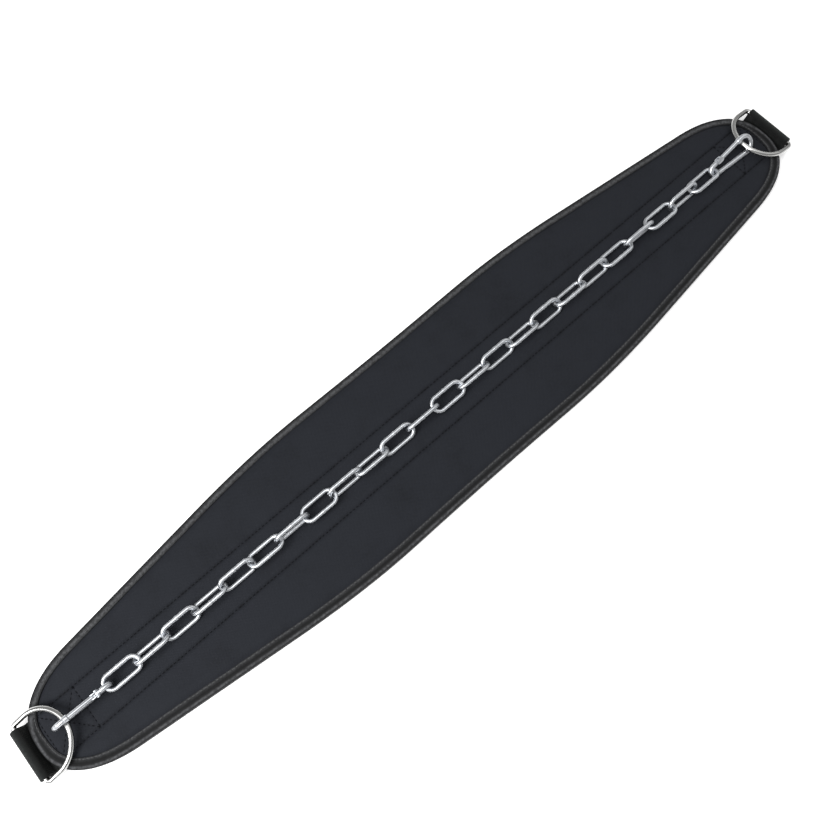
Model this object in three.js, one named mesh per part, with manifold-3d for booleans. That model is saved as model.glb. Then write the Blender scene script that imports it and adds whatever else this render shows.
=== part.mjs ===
// Dip belt: a padded belt with bound edges, a webbing strap sewn to its back that holds a D-ring at
// each end, and a chain with a snap hook at each end laid along the belt from ring to ring.
// Millimetres. X runs along the belt, Y across it, Z up from the surface on which its back lies.
// The origin is the middle of the belt, on that surface.

import * as THREE from "three";
import { mergeVertices } from "three/addons/utils/BufferGeometryUtils.js";
import Module from "manifold-3d";

const wasm = await Module();
wasm.setup();

// Gap left between two pieces that touch on the real belt
const GAP = 0.3;

// Belt outline, binding included
const BELT_LENGTH = 905;
const BELT_WIDTH = 167;
const WAIST_DIP = 1.2;
const SHOULDER_FROM_MIDDLE = 160;
const SHOULDER_BLEND = 8;
const END_WIDTH = 112;
const END_ROUND_LENGTH = 69;
const END_ROUND_POWER = 2.5;

// Padding
const PAD_CROWN_HEIGHT = 11.5;
const PAD_BACK_HEIGHT = 0.5;
const SEAM_GROOVE_DEPTH = 0.9;
const SEAM_GROOVE_HALF_WIDTH = 3;
const SEAM_FROM_STRAP_EDGE = 3.3;
const PAD_SHOULDER_BY_BINDING = 4;
const PAD_SLOPE_BY_BINDING = 18;
const PAD_SHOULDER_RISE = 0.8;
const PAD_SHOULDER_RISE_AT_TIP = 0.6;

// Edge binding, a tape folded over the pad's edge
const BINDING_THICKNESS = 1.2;
const BINDING_COVER = 10;
const BINDING_HEIGHT = 10.5;
const BINDING_CORNER = 1.9;

// Strap on the back, turned round each ring's bar and sewn to itself
const STRAP_WIDTH = 50;
const STRAP_THICKNESS = 2;
const STRAP_RETURN_LENGTH = 74.5;
const STRAP_TURN_STEPS = 12;
const RAMP_ONTO_RETURN = 14;
const LIFT_REACH = 22;
const LIFT_RAMP = 10;

// D-rings
const RING_WIRE = 5;
const RING_INSIDE_WIDTH = 53;
const RING_DEPTH = 42.5;
const RING_CORNER = 3.7;
const RING_SIDES = 8;
const RING_BOW_STEPS = 12;
const RING_CORNER_STEPS = 3;
const BAR_FROM_BELT_END = 7.5;

// Chain
const LINK_WIRE = 4;
const LINK_INSIDE_LENGTH = 32;
const LINK_WIDTH = 18;
const LINK_HEIGHT_PLAY = 1.4;
const LINK_SIDES = 6;
const LINK_BEND_STEPS = 6;

// Snap hooks
const HOOK_LENGTH = 60;
const HOOK_WIRE = 5;
const HOOK_WIDE_WIDTH = 21.5;
const HOOK_NARROW_WIDTH = 14.8;
const NOSE_STRAIGHT = 2.6;
const GATE_WIRE = 4.4;
const GATE_COLLAR = 5.6;
const GATE_COLLAR_LENGTH = 3.6;
const HINGE_FROM_NARROW = 7;
const HINGE_PIN = 2;
const HINGE_HEAD = 3.4;
const HINGE_HEAD_HEIGHT = 0.7;
const HINGE_SIDES = 12;
const HOOK_SIDES = 8;
const HOOK_WIDE_STEPS = 10;
const HOOK_NARROW_STEPS = 8;
const TONGUE_THICKNESS = 2;
const TONGUE_HEIGHT = 3.8;
const TONGUE_ROOT = 2;
const CHEEK_THICKNESS = 1.1;
const CHEEK_REACH = 2;
const KNUCKLE_HEIGHT = 5.2;
const LEFT_HOOK_ROLL_DEG = 80;
const RIGHT_HOOK_ROLL_DEG = 45;

// How each link of the laid chain is rolled about the chain's line, in degrees from flat.
// A longer or shorter chain takes its first half from the start and its second half from the end.
const LINK_ROLLS_DEG = [
  18, -50, 42, -49, 53, -25, 87, -1, 73, -46, 40, -75,
  18, -53, 46, -44, 42, -44, 55, -21, 95, -13, 73, -23,
];

// Where the sections along the belt are taken, from the middle outwards
const OUTLINE_SECTIONS = [
  { shareOfShoulder: 0 },
  { shareOfShoulder: 0.5 },
  { shareOfShoulder: 0.8 },
  { shareOfShoulder: 0.95 },
  { shareOfShoulder: 1.08 },
  { shareOfShoulder: 1.22 },
  { shareOfShoulder: 1.4 },
];
const END_STEPS = 10;

const COLOURS = {
  fabric: { color: 0x2b2d31, roughness: 0.92, metalness: 0 },
  tape: { color: 0x1f2022, roughness: 0.85, metalness: 0 },
  webbing: { color: 0x232527, roughness: 0.8, metalness: 0 },
  nickel: { color: 0xc9ccce, roughness: 0.18, metalness: 1 },
  zinc: { color: 0xcfd4d8, roughness: 0.3, metalness: 1 },
};

const radians = THREE.MathUtils.degToRad;
const euclideanModulo = THREE.MathUtils.euclideanModulo;

// Rings, links and hooks are each drawn in the XY plane
const planeNormal = new THREE.Vector3(0, 0, 1);

// Values worked out from the driving dimensions
const halfLength = BELT_LENGTH / 2;
const endRoundStart = halfLength - END_ROUND_LENGTH;
const flareSlope = (BELT_WIDTH - END_WIDTH) / 2 / (endRoundStart - SHOULDER_FROM_MIDDLE);
const strapDoubleTop = 2 * STRAP_THICKNESS + GAP;
const endLift = strapDoubleTop + GAP;
const barRadius = RING_WIRE / 2;
const turnRadius = barRadius + GAP + STRAP_THICKNESS / 2;
const barX = halfLength + BAR_FROM_BELT_END;
const faceZ = PAD_CROWN_HEIGHT + GAP;
const hookRadius = HOOK_WIRE / 2;
const wideRadius = (HOOK_WIDE_WIDTH - HOOK_WIRE) / 2;
const narrowRadius = (HOOK_NARROW_WIDTH - HOOK_WIRE) / 2;
const wideCentre = HOOK_LENGTH / 2 - hookRadius - wideRadius;
const narrowCentre = -HOOK_LENGTH / 2 + hookRadius + narrowRadius;
const linkRadius = LINK_WIRE / 2;
const linkBend = (LINK_WIDTH - LINK_WIRE) / 2;
const linkStraight = LINK_INSIDE_LENGTH / 2 + linkRadius - linkBend;

// Smaller of two lengths, with the corner between them rounded over the blend
function smoothMin(a, b, blend) {
  const near = Math.max(blend - Math.abs(a - b), 0) / blend;
  return Math.min(a, b) - (near * near * blend) / 4;
}

// Half of the belt's width in its shoulders and flares
function sideHalfWidth(x) {
  const along = Math.min(Math.abs(x) / SHOULDER_FROM_MIDDLE, 1);
  const body = BELT_WIDTH / 2 - WAIST_DIP * Math.cos((along * Math.PI) / 2) ** 2;
  const flare = END_WIDTH / 2 + flareSlope * (endRoundStart - Math.abs(x));
  return smoothMin(body, flare, SHOULDER_BLEND);
}

// Point on the right end's rounding, from its start at 0 to the tip at 1
function endOutline(share) {
  const turn = share * (Math.PI / 2);
  const out = Math.sin(turn) ** (2 / END_ROUND_POWER) * END_ROUND_LENGTH;
  const narrowing = share === 1 ? 0 : Math.cos(turn) ** (2 / END_ROUND_POWER);
  const width = sideHalfWidth(endRoundStart) - flareSlope * out;
  return new THREE.Vector2(endRoundStart + out, width * narrowing);
}

// Value between low and high at which a rising condition stops holding
function lastWhere(low, high, holds) {
  let near = low;
  let far = high;
  for (let i = 0; i < 24; i++) {
    const middle = (near + far) / 2;
    if (holds(middle)) near = middle;
    else far = middle;
  }
  return near;
}

// Pitch of a ring whose legs lie on the binding at the belt's end and whose bow lies on a hook's
// spine, with the height of its bar
function ringRest() {
  const legY = RING_INSIDE_WIDTH / 2 + barRadius;
  const legShare = lastWhere(0, 1, (share) => endOutline(share).y > legY);
  const legFromBar = barX - endOutline(legShare).x;
  const bowZ = faceZ + 2 * hookRadius + GAP + barRadius;
  const legZ = (pitch) => BINDING_HEIGHT + GAP + barRadius / Math.cos(pitch);
  const pitch = lastWhere(
    0,
    Math.PI / 4,
    (p) => RING_DEPTH * Math.sin(p) - legFromBar * Math.tan(p) < bowZ - legZ(p),
  );
  return { pitch, barZ: bowZ - RING_DEPTH * Math.sin(pitch) };
}

// Points of the upper side of the outline, from the left tip to the right tip
function upperOutline() {
  const right = OUTLINE_SECTIONS.map(({ shareOfShoulder }) => {
    const x = shareOfShoulder * SHOULDER_FROM_MIDDLE;
    return new THREE.Vector2(x, sideHalfWidth(x));
  });
  const beforeReturn = endRoundStart - RAMP_ONTO_RETURN;
  right.push(new THREE.Vector2(beforeReturn, sideHalfWidth(beforeReturn)));
  for (let i = 0; i <= END_STEPS; i++) right.push(endOutline(i / END_STEPS));
  const left = right
    .slice(1)
    .reverse()
    .map((p) => new THREE.Vector2(-p.x, p.y));
  return [...left, ...right];
}

// The whole outline, clockwise seen from above, with the way in at each point.
// The way in is longer than one at a corner, so that insets stay parallel to the outline.
function outlineStations() {
  const upper = upperOutline();
  const lower = upper
    .slice(1, -1)
    .reverse()
    .map((p) => new THREE.Vector2(p.x, -p.y));
  const points = [...upper, ...lower];
  return points.map((at, i) => {
    const before = points[(i + points.length - 1) % points.length];
    const after = points[(i + 1) % points.length];
    const inwardOf = (from, to) => {
      const along = to.clone().sub(from).normalize();
      return new THREE.Vector2(along.y, -along.x);
    };
    const first = inwardOf(before, at);
    const inward = first.clone().add(inwardOf(at, after)).normalize();
    inward.divideScalar(inward.dot(first));
    return { at, inward, lift: endLift * liftShare(Math.abs(at.y), at.x) };
  });
}

// How far the underside at a station of the outline is lifted by the doubled strap, from 0 to 1
function liftShare(y, x) {
  const full = STRAP_WIDTH / 2 + LIFT_REACH;
  const none = full + LIFT_RAMP;
  if (Math.abs(x) < endRoundStart) return 0;
  return THREE.MathUtils.clamp((none - y) / (none - full), 0, 1);
}

// Closed surface through a list of sections with the same number of points each
function loft(sections, closed = false, caps = true) {
  const count = sections[0].length;
  const corners = [];
  const face = (a, b, c) => corners.push(a, b, c);
  const rows = closed ? sections.length : sections.length - 1;
  for (let i = 0; i < rows; i++) {
    const near = sections[i];
    const far = sections[(i + 1) % sections.length];
    for (let j = 0; j < count; j++) {
      const k = (j + 1) % count;
      face(near[j], near[k], far[k]);
      face(near[j], far[k], far[j]);
    }
  }
  if (!closed && caps) {
    const first = sections[0];
    const last = sections[sections.length - 1];
    for (let j = 1; j < count - 1; j++) {
      face(first[0], first[j + 1], first[j]);
      face(last[0], last[j], last[j + 1]);
    }
  }
  return closedGeometry(corners);
}

// Geometry of a list of triangle corners, without the triangles that have shrunk to a line
function closedGeometry(corners) {
  const soup = new THREE.BufferGeometry().setFromPoints(corners);
  const merged = mergeVertices(soup, 1e-3);
  const index = merged.index.array;
  const kept = [];
  for (let i = 0; i < index.length; i += 3) {
    const [a, b, c] = index.slice(i, i + 3);
    if (a !== b && b !== c && c !== a) kept.push(a, b, c);
  }
  merged.setIndex(kept);
  merged.computeVertexNormals();
  return merged;
}

// Round wire along points that lie in one plane, whose normal is across
function wire(points, across, radius, sides, closed) {
  const count = points.length;
  const sections = points.map((at, i) => {
    const before = points[closed ? (i + count - 1) % count : Math.max(i - 1, 0)];
    const after = points[closed ? (i + 1) % count : Math.min(i + 1, count - 1)];
    const along = after.clone().sub(before).normalize();
    const side = new THREE.Vector3().crossVectors(across, along);
    return Array.from({ length: sides }, (_, k) => {
      const turn = ((k + 0.5) / sides) * 2 * Math.PI;
      return at
        .clone()
        .addScaledVector(side, radius * Math.cos(turn))
        .addScaledVector(across, radius * Math.sin(turn));
    });
  });
  return loft(sections, closed);
}

// Points on an arc in the XY plane, from one angle to another in degrees, both ends included
function arc(x, y, radius, fromDeg, toDeg, steps) {
  return Array.from({ length: steps + 1 }, (_, i) => {
    const turn = radians(fromDeg + ((toDeg - fromDeg) * i) / steps);
    return new THREE.Vector3(x + radius * Math.cos(turn), y + radius * Math.sin(turn), 0);
  });
}

function solidOf(geometry) {
  const bare = geometry.index ? geometry.toNonIndexed() : geometry.clone();
  bare.deleteAttribute("normal");
  bare.deleteAttribute("uv");
  const merged = mergeVertices(bare, 1e-4);
  const mesh = new wasm.Mesh({
    numProp: 3,
    vertProperties: merged.attributes.position.array,
    triVerts: new Uint32Array(merged.index.array),
  });
  return new wasm.Manifold(mesh);
}

function geometryOf(solid) {
  const mesh = solid.getMesh();
  const geometry = new THREE.BufferGeometry();
  geometry.setAttribute("position", new THREE.BufferAttribute(mesh.vertProperties, 3));
  geometry.setIndex(new THREE.BufferAttribute(mesh.triVerts, 1));
  geometry.computeVertexNormals();
  return geometry;
}

function makeMesh(name, geometry, finish) {
  const mesh = new THREE.Mesh(geometry, new THREE.MeshStandardMaterial(COLOURS[finish]));
  mesh.name = name;
  return mesh;
}

// Padding: sections across the belt, rounded down to the binding, with a groove at each seam on the
// face and a channel for the strap on the back
function padGeometry() {
  const stations = outlineStations();
  const half = stations.length / 2;
  const seamY = STRAP_WIDTH / 2 - SEAM_FROM_STRAP_EDGE;
  const channelY = STRAP_WIDTH / 2 + GAP;
  const edge = BINDING_THICKNESS + GAP;
  const beside = BINDING_COVER + 2 * GAP;
  const slope = beside + PAD_SHOULDER_BY_BINDING;
  const underTape = BINDING_HEIGHT - edge;
  const faceRise = PAD_CROWN_HEIGHT - underTape;
  const lines = [
    { y: seamY + 2 * SEAM_GROOVE_HALF_WIDTH, most: 0.95, groove: 0, channel: false },
    { y: channelY, most: 0.8, groove: 0, channel: true },
    { y: seamY, most: 0.65, groove: 1, channel: true },
    { y: seamY - SEAM_GROOVE_HALF_WIDTH, most: 0.5, groove: 0, channel: true },
    { y: 0, most: 0, groove: 0, channel: true },
  ];
  const channelTop = (x) =>
    Math.abs(x) < endRoundStart - PAD_SHOULDER_BY_BINDING
      ? STRAP_THICKNESS + GAP
      : endLift;
  const acrossHalf = ({ at, inward, lift }) => {
    const inset = (d) => at.clone().addScaledVector(inward, d);
    const inner = inset(slope);
    const room = Math.abs(inner.y);
    const crowned = Math.min((Math.abs(at.y) - slope) / PAD_SLOPE_BY_BINDING, 1);
    const rise = THREE.MathUtils.lerp(
      PAD_SHOULDER_RISE_AT_TIP,
      PAD_SHOULDER_RISE,
      Math.max(crowned, 0),
    );
    const innerTop = underTape + faceRise * rise;
    const points = [
      { plan: inset(edge), top: underTape, back: edge + lift },
      { plan: inset(beside), top: underTape, back: edge + lift },
      { plan: inner, top: innerTop, back: backHeight(inner, room < channelY, lift, channelTop) },
    ];
    for (const { y, most, groove, channel } of lines) {
      const plan = new THREE.Vector2(inner.x, Math.min(y, room * most) * Math.sign(inner.y || 1));
      const within = y <= room * most ? 1 : 0;
      points.push({
        plan,
        top: PAD_CROWN_HEIGHT - groove * within * SEAM_GROOVE_DEPTH,
        back: backHeight(plan, channel || room < channelY, lift, channelTop),
      });
    }
    return points;
  };
  const sections = [];
  for (let i = 0; i <= half; i++) {
    const upper = acrossHalf(stations[i]);
    const lower = upper.map((p) => ({ ...p, plan: new THREE.Vector2(p.plan.x, -p.plan.y) }));
    const row = [...upper, ...lower.slice(0, -1).reverse()];
    const face = row.map((p) => new THREE.Vector3(p.plan.x, p.plan.y, p.top));
    const back = row.map((p) => new THREE.Vector3(p.plan.x, p.plan.y, p.back));
    sections.push([...face, ...back.reverse()]);
  }
  return loft(sections, false, false);
}

function backHeight(plan, overStrap, lift, channelTop) {
  return overStrap ? channelTop(plan.x) : Math.max(PAD_BACK_HEIGHT, lift);
}

// Binding: a U-shaped section carried round the whole outline
function bindingGeometry() {
  const t = BINDING_THICKNESS;
  const c = BINDING_CORNER;
  const h = BINDING_HEIGHT;
  const section = [
    { inset: BINDING_COVER, z: 0, lifts: 1 },
    { inset: c, z: 0, lifts: 1 },
    { inset: 0, z: c, lifts: 1 },
    { inset: 0, z: h - c, lifts: 0 },
    { inset: c, z: h, lifts: 0 },
    { inset: BINDING_COVER, z: h, lifts: 0 },
    { inset: BINDING_COVER, z: h - t, lifts: 0 },
    { inset: t, z: h - t, lifts: 0 },
    { inset: t, z: t, lifts: 1 },
    { inset: BINDING_COVER, z: t, lifts: 1 },
  ];
  const sections = outlineStations().map(({ at, inward, lift }) =>
    section.map(({ inset, z, lifts }) => {
      const plan = at.clone().addScaledVector(inward, inset);
      return new THREE.Vector3(plan.x, plan.y, z + lifts * lift);
    }),
  );
  return loft(sections, true);
}

// Tangent from a point to a circle: its direction and where it touches, as an angle on the circle
function tangentTo(from, centre, radius, side) {
  const toCentre = centre.clone().sub(from);
  const along = toCentre.angle() + side * Math.asin(radius / toCentre.length());
  return along + (side * Math.PI) / 2;
}

// Strap: a flat section carried from the sewn end of one turn, round both bars, to the other
function strapGeometry(barZ) {
  const t = STRAP_THICKNESS;
  const bar = new THREE.Vector2(barX, barZ);
  const edgeX = barX - BAR_FROM_BELT_END + GAP;
  const returned = new THREE.Vector2(edgeX + t / 3, t + GAP + t / 2);
  const below = new THREE.Vector2(edgeX + t / 2 + GAP, t / 2);
  const leave = tangentTo(returned, bar, turnRadius, 1);
  const arrive = tangentTo(below, bar, turnRadius, -1);
  const rightHalf = [new THREE.Vector2(barX - STRAP_RETURN_LENGTH, returned.y), returned];
  for (let i = 0; i <= STRAP_TURN_STEPS; i++) {
    const turn = leave + ((arrive - leave) * i) / STRAP_TURN_STEPS;
    const out = new THREE.Vector2(Math.cos(turn), Math.sin(turn));
    rightHalf.push(bar.clone().addScaledVector(out, turnRadius));
  }
  rightHalf.push(below);
  const leftHalf = rightHalf
    .slice()
    .reverse()
    .map((p) => new THREE.Vector2(-p.x, p.y));
  const route = [...rightHalf, ...leftHalf];
  const last = route.length - 1;
  const sections = route.map((at, i) => {
    const into = at.clone().sub(route[Math.max(i - 1, 0)]).normalize();
    const out = route[Math.min(i + 1, last)].clone().sub(at).normalize();
    const along = into.clone().add(out).normalize();
    const side = new THREE.Vector2(-along.y, along.x);
    const reach = t / 2 / (i === 0 || i === last ? 1 : along.dot(into));
    const corner = (k, y) =>
      new THREE.Vector3(at.x + k * reach * side.x, y, at.y + k * reach * side.y);
    const y = STRAP_WIDTH / 2;
    return [corner(-1, -y), corner(-1, y), corner(1, y), corner(1, -y)];
  });
  return loft(sections);
}

// D-ring, in the XY plane: its bar on the Y axis and its bow towards positive X
function ringGeometry() {
  const half = RING_INSIDE_WIDTH / 2 + barRadius;
  const bowX = RING_DEPTH - half;
  const c = RING_CORNER;
  const path = [
    ...arc(bowX, 0, half, -90, 90, RING_BOW_STEPS),
    ...arc(c, half - c, c, 90, 180, RING_CORNER_STEPS),
    ...arc(c, c - half, c, 180, 270, RING_CORNER_STEPS),
  ];
  return wire(path, planeNormal, barRadius, RING_SIDES, true);
}

// Chain link, in the XY plane and long along X
function linkGeometry() {
  const path = [
    ...arc(linkStraight, 0, linkBend, -90, 90, LINK_BEND_STEPS),
    ...arc(-linkStraight, 0, linkBend, 90, 270, LINK_BEND_STEPS),
  ];
  return wire(path, planeNormal, linkRadius, LINK_SIDES, true);
}

// Gate line of a hook in its own plane: from the hinge pin to the free end, which meets the nose
const gateSlope = Math.atan2(wideRadius - narrowRadius, wideCentre - narrowCentre);
const hingeX = narrowCentre + HINGE_FROM_NARROW;
const hingeY = narrowRadius + HINGE_FROM_NARROW * Math.tan(gateSlope);
const gateLength = (wideCentre - NOSE_STRAIGHT - hingeX) / Math.cos(gateSlope) - GAP;

function boxAt(x, y, z, sizeX, sizeY, sizeZ) {
  return solidOf(new THREE.BoxGeometry(sizeX, sizeY, sizeZ).translate(x, y, z));
}

function pinAt(radius, height, z = 0) {
  const pin = new THREE.CylinderGeometry(radius, radius, height, HINGE_SIDES);
  pin.rotateX(Math.PI / 2);
  return solidOf(pin.translate(0, 0, z));
}

function rodAlongX(radius, fromX, toX) {
  const rod = new THREE.CylinderGeometry(radius, radius, toX - fromX, HOOK_SIDES);
  rod.rotateZ(-Math.PI / 2);
  return solidOf(rod.translate((fromX + toX) / 2, 0, 0));
}

// Hook body, in the XY plane: nose, wide end, spine, narrow end, then the flat tongue of the hinge
function hookBodyGeometry() {
  const tongueEnd = KNUCKLE_HEIGHT / 2;
  const wireEnd = hingeX - tongueEnd - GAP;
  const path = [
    new THREE.Vector3(wideCentre - NOSE_STRAIGHT, wideRadius, 0),
    ...arc(wideCentre, 0, wideRadius, 90, -90, HOOK_WIDE_STEPS),
    ...arc(narrowCentre, 0, narrowRadius, 270, 90, HOOK_NARROW_STEPS),
    new THREE.Vector3(wireEnd, hingeY - (hingeX - wireEnd) * Math.tan(gateSlope), 0),
  ];
  const bent = solidOf(wire(path, planeNormal, hookRadius, HOOK_SIDES, false));
  const half = TONGUE_THICKNESS / 2 + GAP + CHEEK_THICKNESS + GAP;
  const tongueLength = tongueEnd + TONGUE_ROOT;
  const tongue = boxAt(-tongueEnd / 2, 0, 0, tongueLength, TONGUE_HEIGHT, TONGUE_THICKNESS);
  const pin = pinAt(HINGE_PIN / 2, 2 * half + HINGE_HEAD_HEIGHT);
  const headZ = half + HINGE_HEAD_HEIGHT / 2;
  const heads = pinAt(HINGE_HEAD / 2, HINGE_HEAD_HEIGHT, headZ).add(
    pinAt(HINGE_HEAD / 2, HINGE_HEAD_HEIGHT, -headZ),
  );
  const hinge = tongue
    .add(pin)
    .add(heads)
    .rotate([0, 0, THREE.MathUtils.radToDeg(gateSlope)])
    .translate([hingeX, hingeY, 0]);
  return geometryOf(bent.add(hinge));
}

// Gate, with the hinge pin at its origin and its rod along X
function gateGeometry() {
  const knuckle = KNUCKLE_HEIGHT / 2;
  const cheekEnd = knuckle + CHEEK_REACH;
  const rodStart = knuckle + CHEEK_REACH / 2;
  const rod = rodAlongX(GATE_WIRE / 2, rodStart, gateLength);
  const collar = rodAlongX(GATE_COLLAR / 2, gateLength - GATE_COLLAR_LENGTH, gateLength);
  const thickness = TONGUE_THICKNESS + 2 * GAP + 2 * CHEEK_THICKNESS;
  const cheeks = boxAt(cheekEnd / 2, 0, 0, cheekEnd, KNUCKLE_HEIGHT, thickness).add(
    pinAt(knuckle, thickness),
  );
  const slotEnd = knuckle + GAP;
  const slot = boxAt(
    slotEnd - knuckle * 2,
    0,
    0,
    knuckle * 4,
    2 * KNUCKLE_HEIGHT,
    TONGUE_THICKNESS + 2 * GAP,
  );
  const hole = pinAt(HINGE_PIN / 2 + GAP, 2 * thickness);
  return geometryOf(rod.add(collar).add(cheeks).subtract(slot).subtract(hole));
}

// Least distance between the bends of two linked links, whose centres lie dx apart along the chain
// and rise apart in height
function linkClearance(rollA, rollB, dx, rise) {
  const steps = 24;
  const bend = (centre, side, roll, height, i) => {
    const turn = (-0.5 + i / steps) * Math.PI;
    const across = linkBend * Math.sin(turn);
    return new THREE.Vector3(
      centre + side * (linkStraight + linkBend * Math.cos(turn)),
      across * Math.cos(roll),
      across * Math.sin(roll) + height,
    );
  };
  let least = Infinity;
  for (let i = 0; i <= steps; i++) {
    const a = bend(0, 1, rollA, 0, i);
    for (let j = 0; j <= steps; j++) {
      least = Math.min(least, a.distanceTo(bend(dx, -1, rollB, rise, j)));
    }
  }
  return least;
}

// Longest step from one link's centre to the next that keeps the gap between their wires
function longestStep(rollA, rollB, rise) {
  return lastWhere(
    LINK_INSIDE_LENGTH - LINK_WIRE,
    LINK_INSIDE_LENGTH,
    (dx) => linkClearance(rollA, rollB, dx, rise) >= LINK_WIRE + GAP,
  );
}

// Height of a hook's axis over its wide and narrow ends when its spine lies on the belt's face
function hookRest(rollDeg) {
  const lean = Math.sin(radians(rollDeg));
  const wide = faceZ + hookRadius + wideRadius * lean;
  const narrow = faceZ + hookRadius + narrowRadius * lean;
  const pitch = -Math.asin((wide - narrow) / (wideCentre - narrowCentre));
  return { wide, narrow, pitch };
}

// Links of a chain of so many links, laid from one hook to the other, with the slack of each joint
function layLinks(count, firstX, lastX, rests) {
  const rolls = Array.from({ length: count }, (_, i) => {
    const fromNearEnd = i < count / 2 ? i : i - count;
    return radians(LINK_ROLLS_DEG[euclideanModulo(fromNearEnd, LINK_ROLLS_DEG.length)]);
  });
  const heights = rolls.map((roll) => faceZ + linkRadius + linkBend * Math.abs(Math.sin(roll)));
  heights[0] = rests[0].narrow;
  heights[count - 1] = rests[1].narrow;
  for (let pass = 0; pass < count; pass++) {
    for (let i = 1; i < count - 1; i++) {
      const beside = Math.max(heights[i - 1], heights[i + 1]);
      heights[i] = Math.max(heights[i], beside - LINK_HEIGHT_PLAY);
    }
  }
  const steps = [];
  for (let i = 0; i < count - 1; i++) {
    steps.push(longestStep(rolls[i], rolls[i + 1], heights[i + 1] - heights[i]));
  }
  const longest = steps.reduce((sum, step) => sum + step, 0);
  const slack = (longest - (lastX - firstX)) / steps.length;
  const links = [];
  let x = firstX;
  for (let i = 0; i < count; i++) {
    links.push({ x, z: heights[i], roll: rolls[i] });
    x += (steps[i] ?? 0) - slack;
  }
  return { links, slack };
}

// Places along the chain: the rings' bows, the hooks and the fewest links that reach between them,
// an even number so that neighbours always lean opposite ways
function layChain(ringPitch) {
  const rests = [hookRest(LEFT_HOOK_ROLL_DEG), hookRest(RIGHT_HOOK_ROLL_DEG)];
  const bowX = barX - RING_DEPTH * Math.cos(ringPitch);
  const narrowEnd = rests.map(
    ({ pitch }) => bowX - (wideCentre - narrowCentre) * Math.cos(pitch),
  );
  const crown = narrowRadius - hookRadius - 2 * GAP - linkRadius;
  const firstX = -(narrowEnd[0] - crown) + linkStraight + linkBend;
  const lastX = narrowEnd[1] - crown - linkStraight - linkBend;
  let count = 2 * Math.ceil((lastX - firstX) / LINK_INSIDE_LENGTH / 2);
  let laid = layLinks(count, firstX, lastX, rests);
  while (laid.slack < 0) {
    count += 2;
    laid = layLinks(count, firstX, lastX, rests);
  }
  return { rests, bowX, links: laid.links };
}

// A hook's group: its own X axis points to its wide end, which holds the ring's bow
function hookGroup(side, sideName, rollDeg, rest, bowX) {
  const group = new THREE.Group();
  group.rotation.order = "ZYX";
  group.rotation.set(radians(rollDeg), rest.pitch, side < 0 ? Math.PI : 0);
  const fromWide = wideCentre * Math.cos(rest.pitch);
  group.position.set(
    side * (bowX - fromWide),
    0,
    rest.wide + wideCentre * Math.sin(rest.pitch),
  );
  group.add(makeMesh(`hook_body_${sideName}`, hookBodyGeometry(), "zinc"));
  const gate = makeMesh(`hook_gate_${sideName}`, gateGeometry(), "zinc");
  gate.position.set(hingeX, hingeY, 0);
  gate.rotation.z = gateSlope;
  group.add(gate);
  return group;
}

// A ring's group: its bar in the strap's turn and its bow raised over the belt
function ringMesh(side, sideName, { pitch, barZ }) {
  const ring = makeMesh(`d_ring_${sideName}`, ringGeometry(), "nickel");
  ring.rotation.order = "ZYX";
  ring.rotation.set(0, -pitch, side > 0 ? Math.PI : 0);
  ring.position.set(side * barX, 0, barZ);
  return ring;
}

const belt = new THREE.Group();
belt.add(makeMesh("belt_pad", padGeometry(), "fabric"));
belt.add(makeMesh("edge_binding", bindingGeometry(), "tape"));

const ring = ringRest();
belt.add(makeMesh("webbing_strap", strapGeometry(ring.barZ), "webbing"));
belt.add(ringMesh(-1, "left", ring));
belt.add(ringMesh(1, "right", ring));

const chain = layChain(ring.pitch);
belt.add(hookGroup(-1, "left", LEFT_HOOK_ROLL_DEG, chain.rests[0], chain.bowX));
belt.add(hookGroup(1, "right", RIGHT_HOOK_ROLL_DEG, chain.rests[1], chain.bowX));

chain.links.forEach(({ x, z, roll }, i) => {
  const number = String(i + 1).padStart(2, "0");
  const link = makeMesh(`chain_link_${number}`, linkGeometry(), "zinc");
  link.position.set(x, 0, z);
  link.rotation.x = roll;
  belt.add(link);
});

export default belt;
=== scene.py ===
"""Dip belt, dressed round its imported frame.

A padded belt lies on its back. Its edge is bound with tape, a webbing strap on its back turns
round the bar of a D-ring at each end, and a chain with a snap hook at each end runs along its face
from ring to ring. X runs along the belt, Y across it and Z up, as in the frame. The sizes in the
classes are in millimetres, and the meshes are in metres.
"""

from __future__ import annotations

import logging
import math
from collections.abc import Callable, Iterator, Sequence
from contextlib import contextmanager
from dataclasses import dataclass
from enum import Enum, auto

import bpy
import numpy as np
from mathutils import Matrix, Vector, noise


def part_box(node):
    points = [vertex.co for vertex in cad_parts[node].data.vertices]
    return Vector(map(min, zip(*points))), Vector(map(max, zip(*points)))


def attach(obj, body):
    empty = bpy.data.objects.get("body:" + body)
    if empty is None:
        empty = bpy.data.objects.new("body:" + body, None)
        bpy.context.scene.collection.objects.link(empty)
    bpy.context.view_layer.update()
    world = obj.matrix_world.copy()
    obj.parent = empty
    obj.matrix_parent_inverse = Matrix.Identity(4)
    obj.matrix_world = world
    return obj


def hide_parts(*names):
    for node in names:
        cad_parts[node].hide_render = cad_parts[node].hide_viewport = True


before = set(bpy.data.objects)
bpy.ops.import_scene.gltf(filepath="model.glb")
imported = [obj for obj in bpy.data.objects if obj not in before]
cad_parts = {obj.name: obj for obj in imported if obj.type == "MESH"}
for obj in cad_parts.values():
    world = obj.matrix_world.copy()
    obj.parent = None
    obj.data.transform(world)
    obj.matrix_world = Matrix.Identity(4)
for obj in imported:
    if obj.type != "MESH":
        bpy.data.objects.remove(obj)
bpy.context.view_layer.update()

LOG = logging.getLogger("dip_belt")
MM = 0.001
MERGE_DISTANCE = 1e-6
SMOOTH_ANGLE = math.radians(40)
BEVEL_FROM = math.radians(50)
PIN_SIDES = 24
PIN_ROUNDING = 0.3
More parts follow.
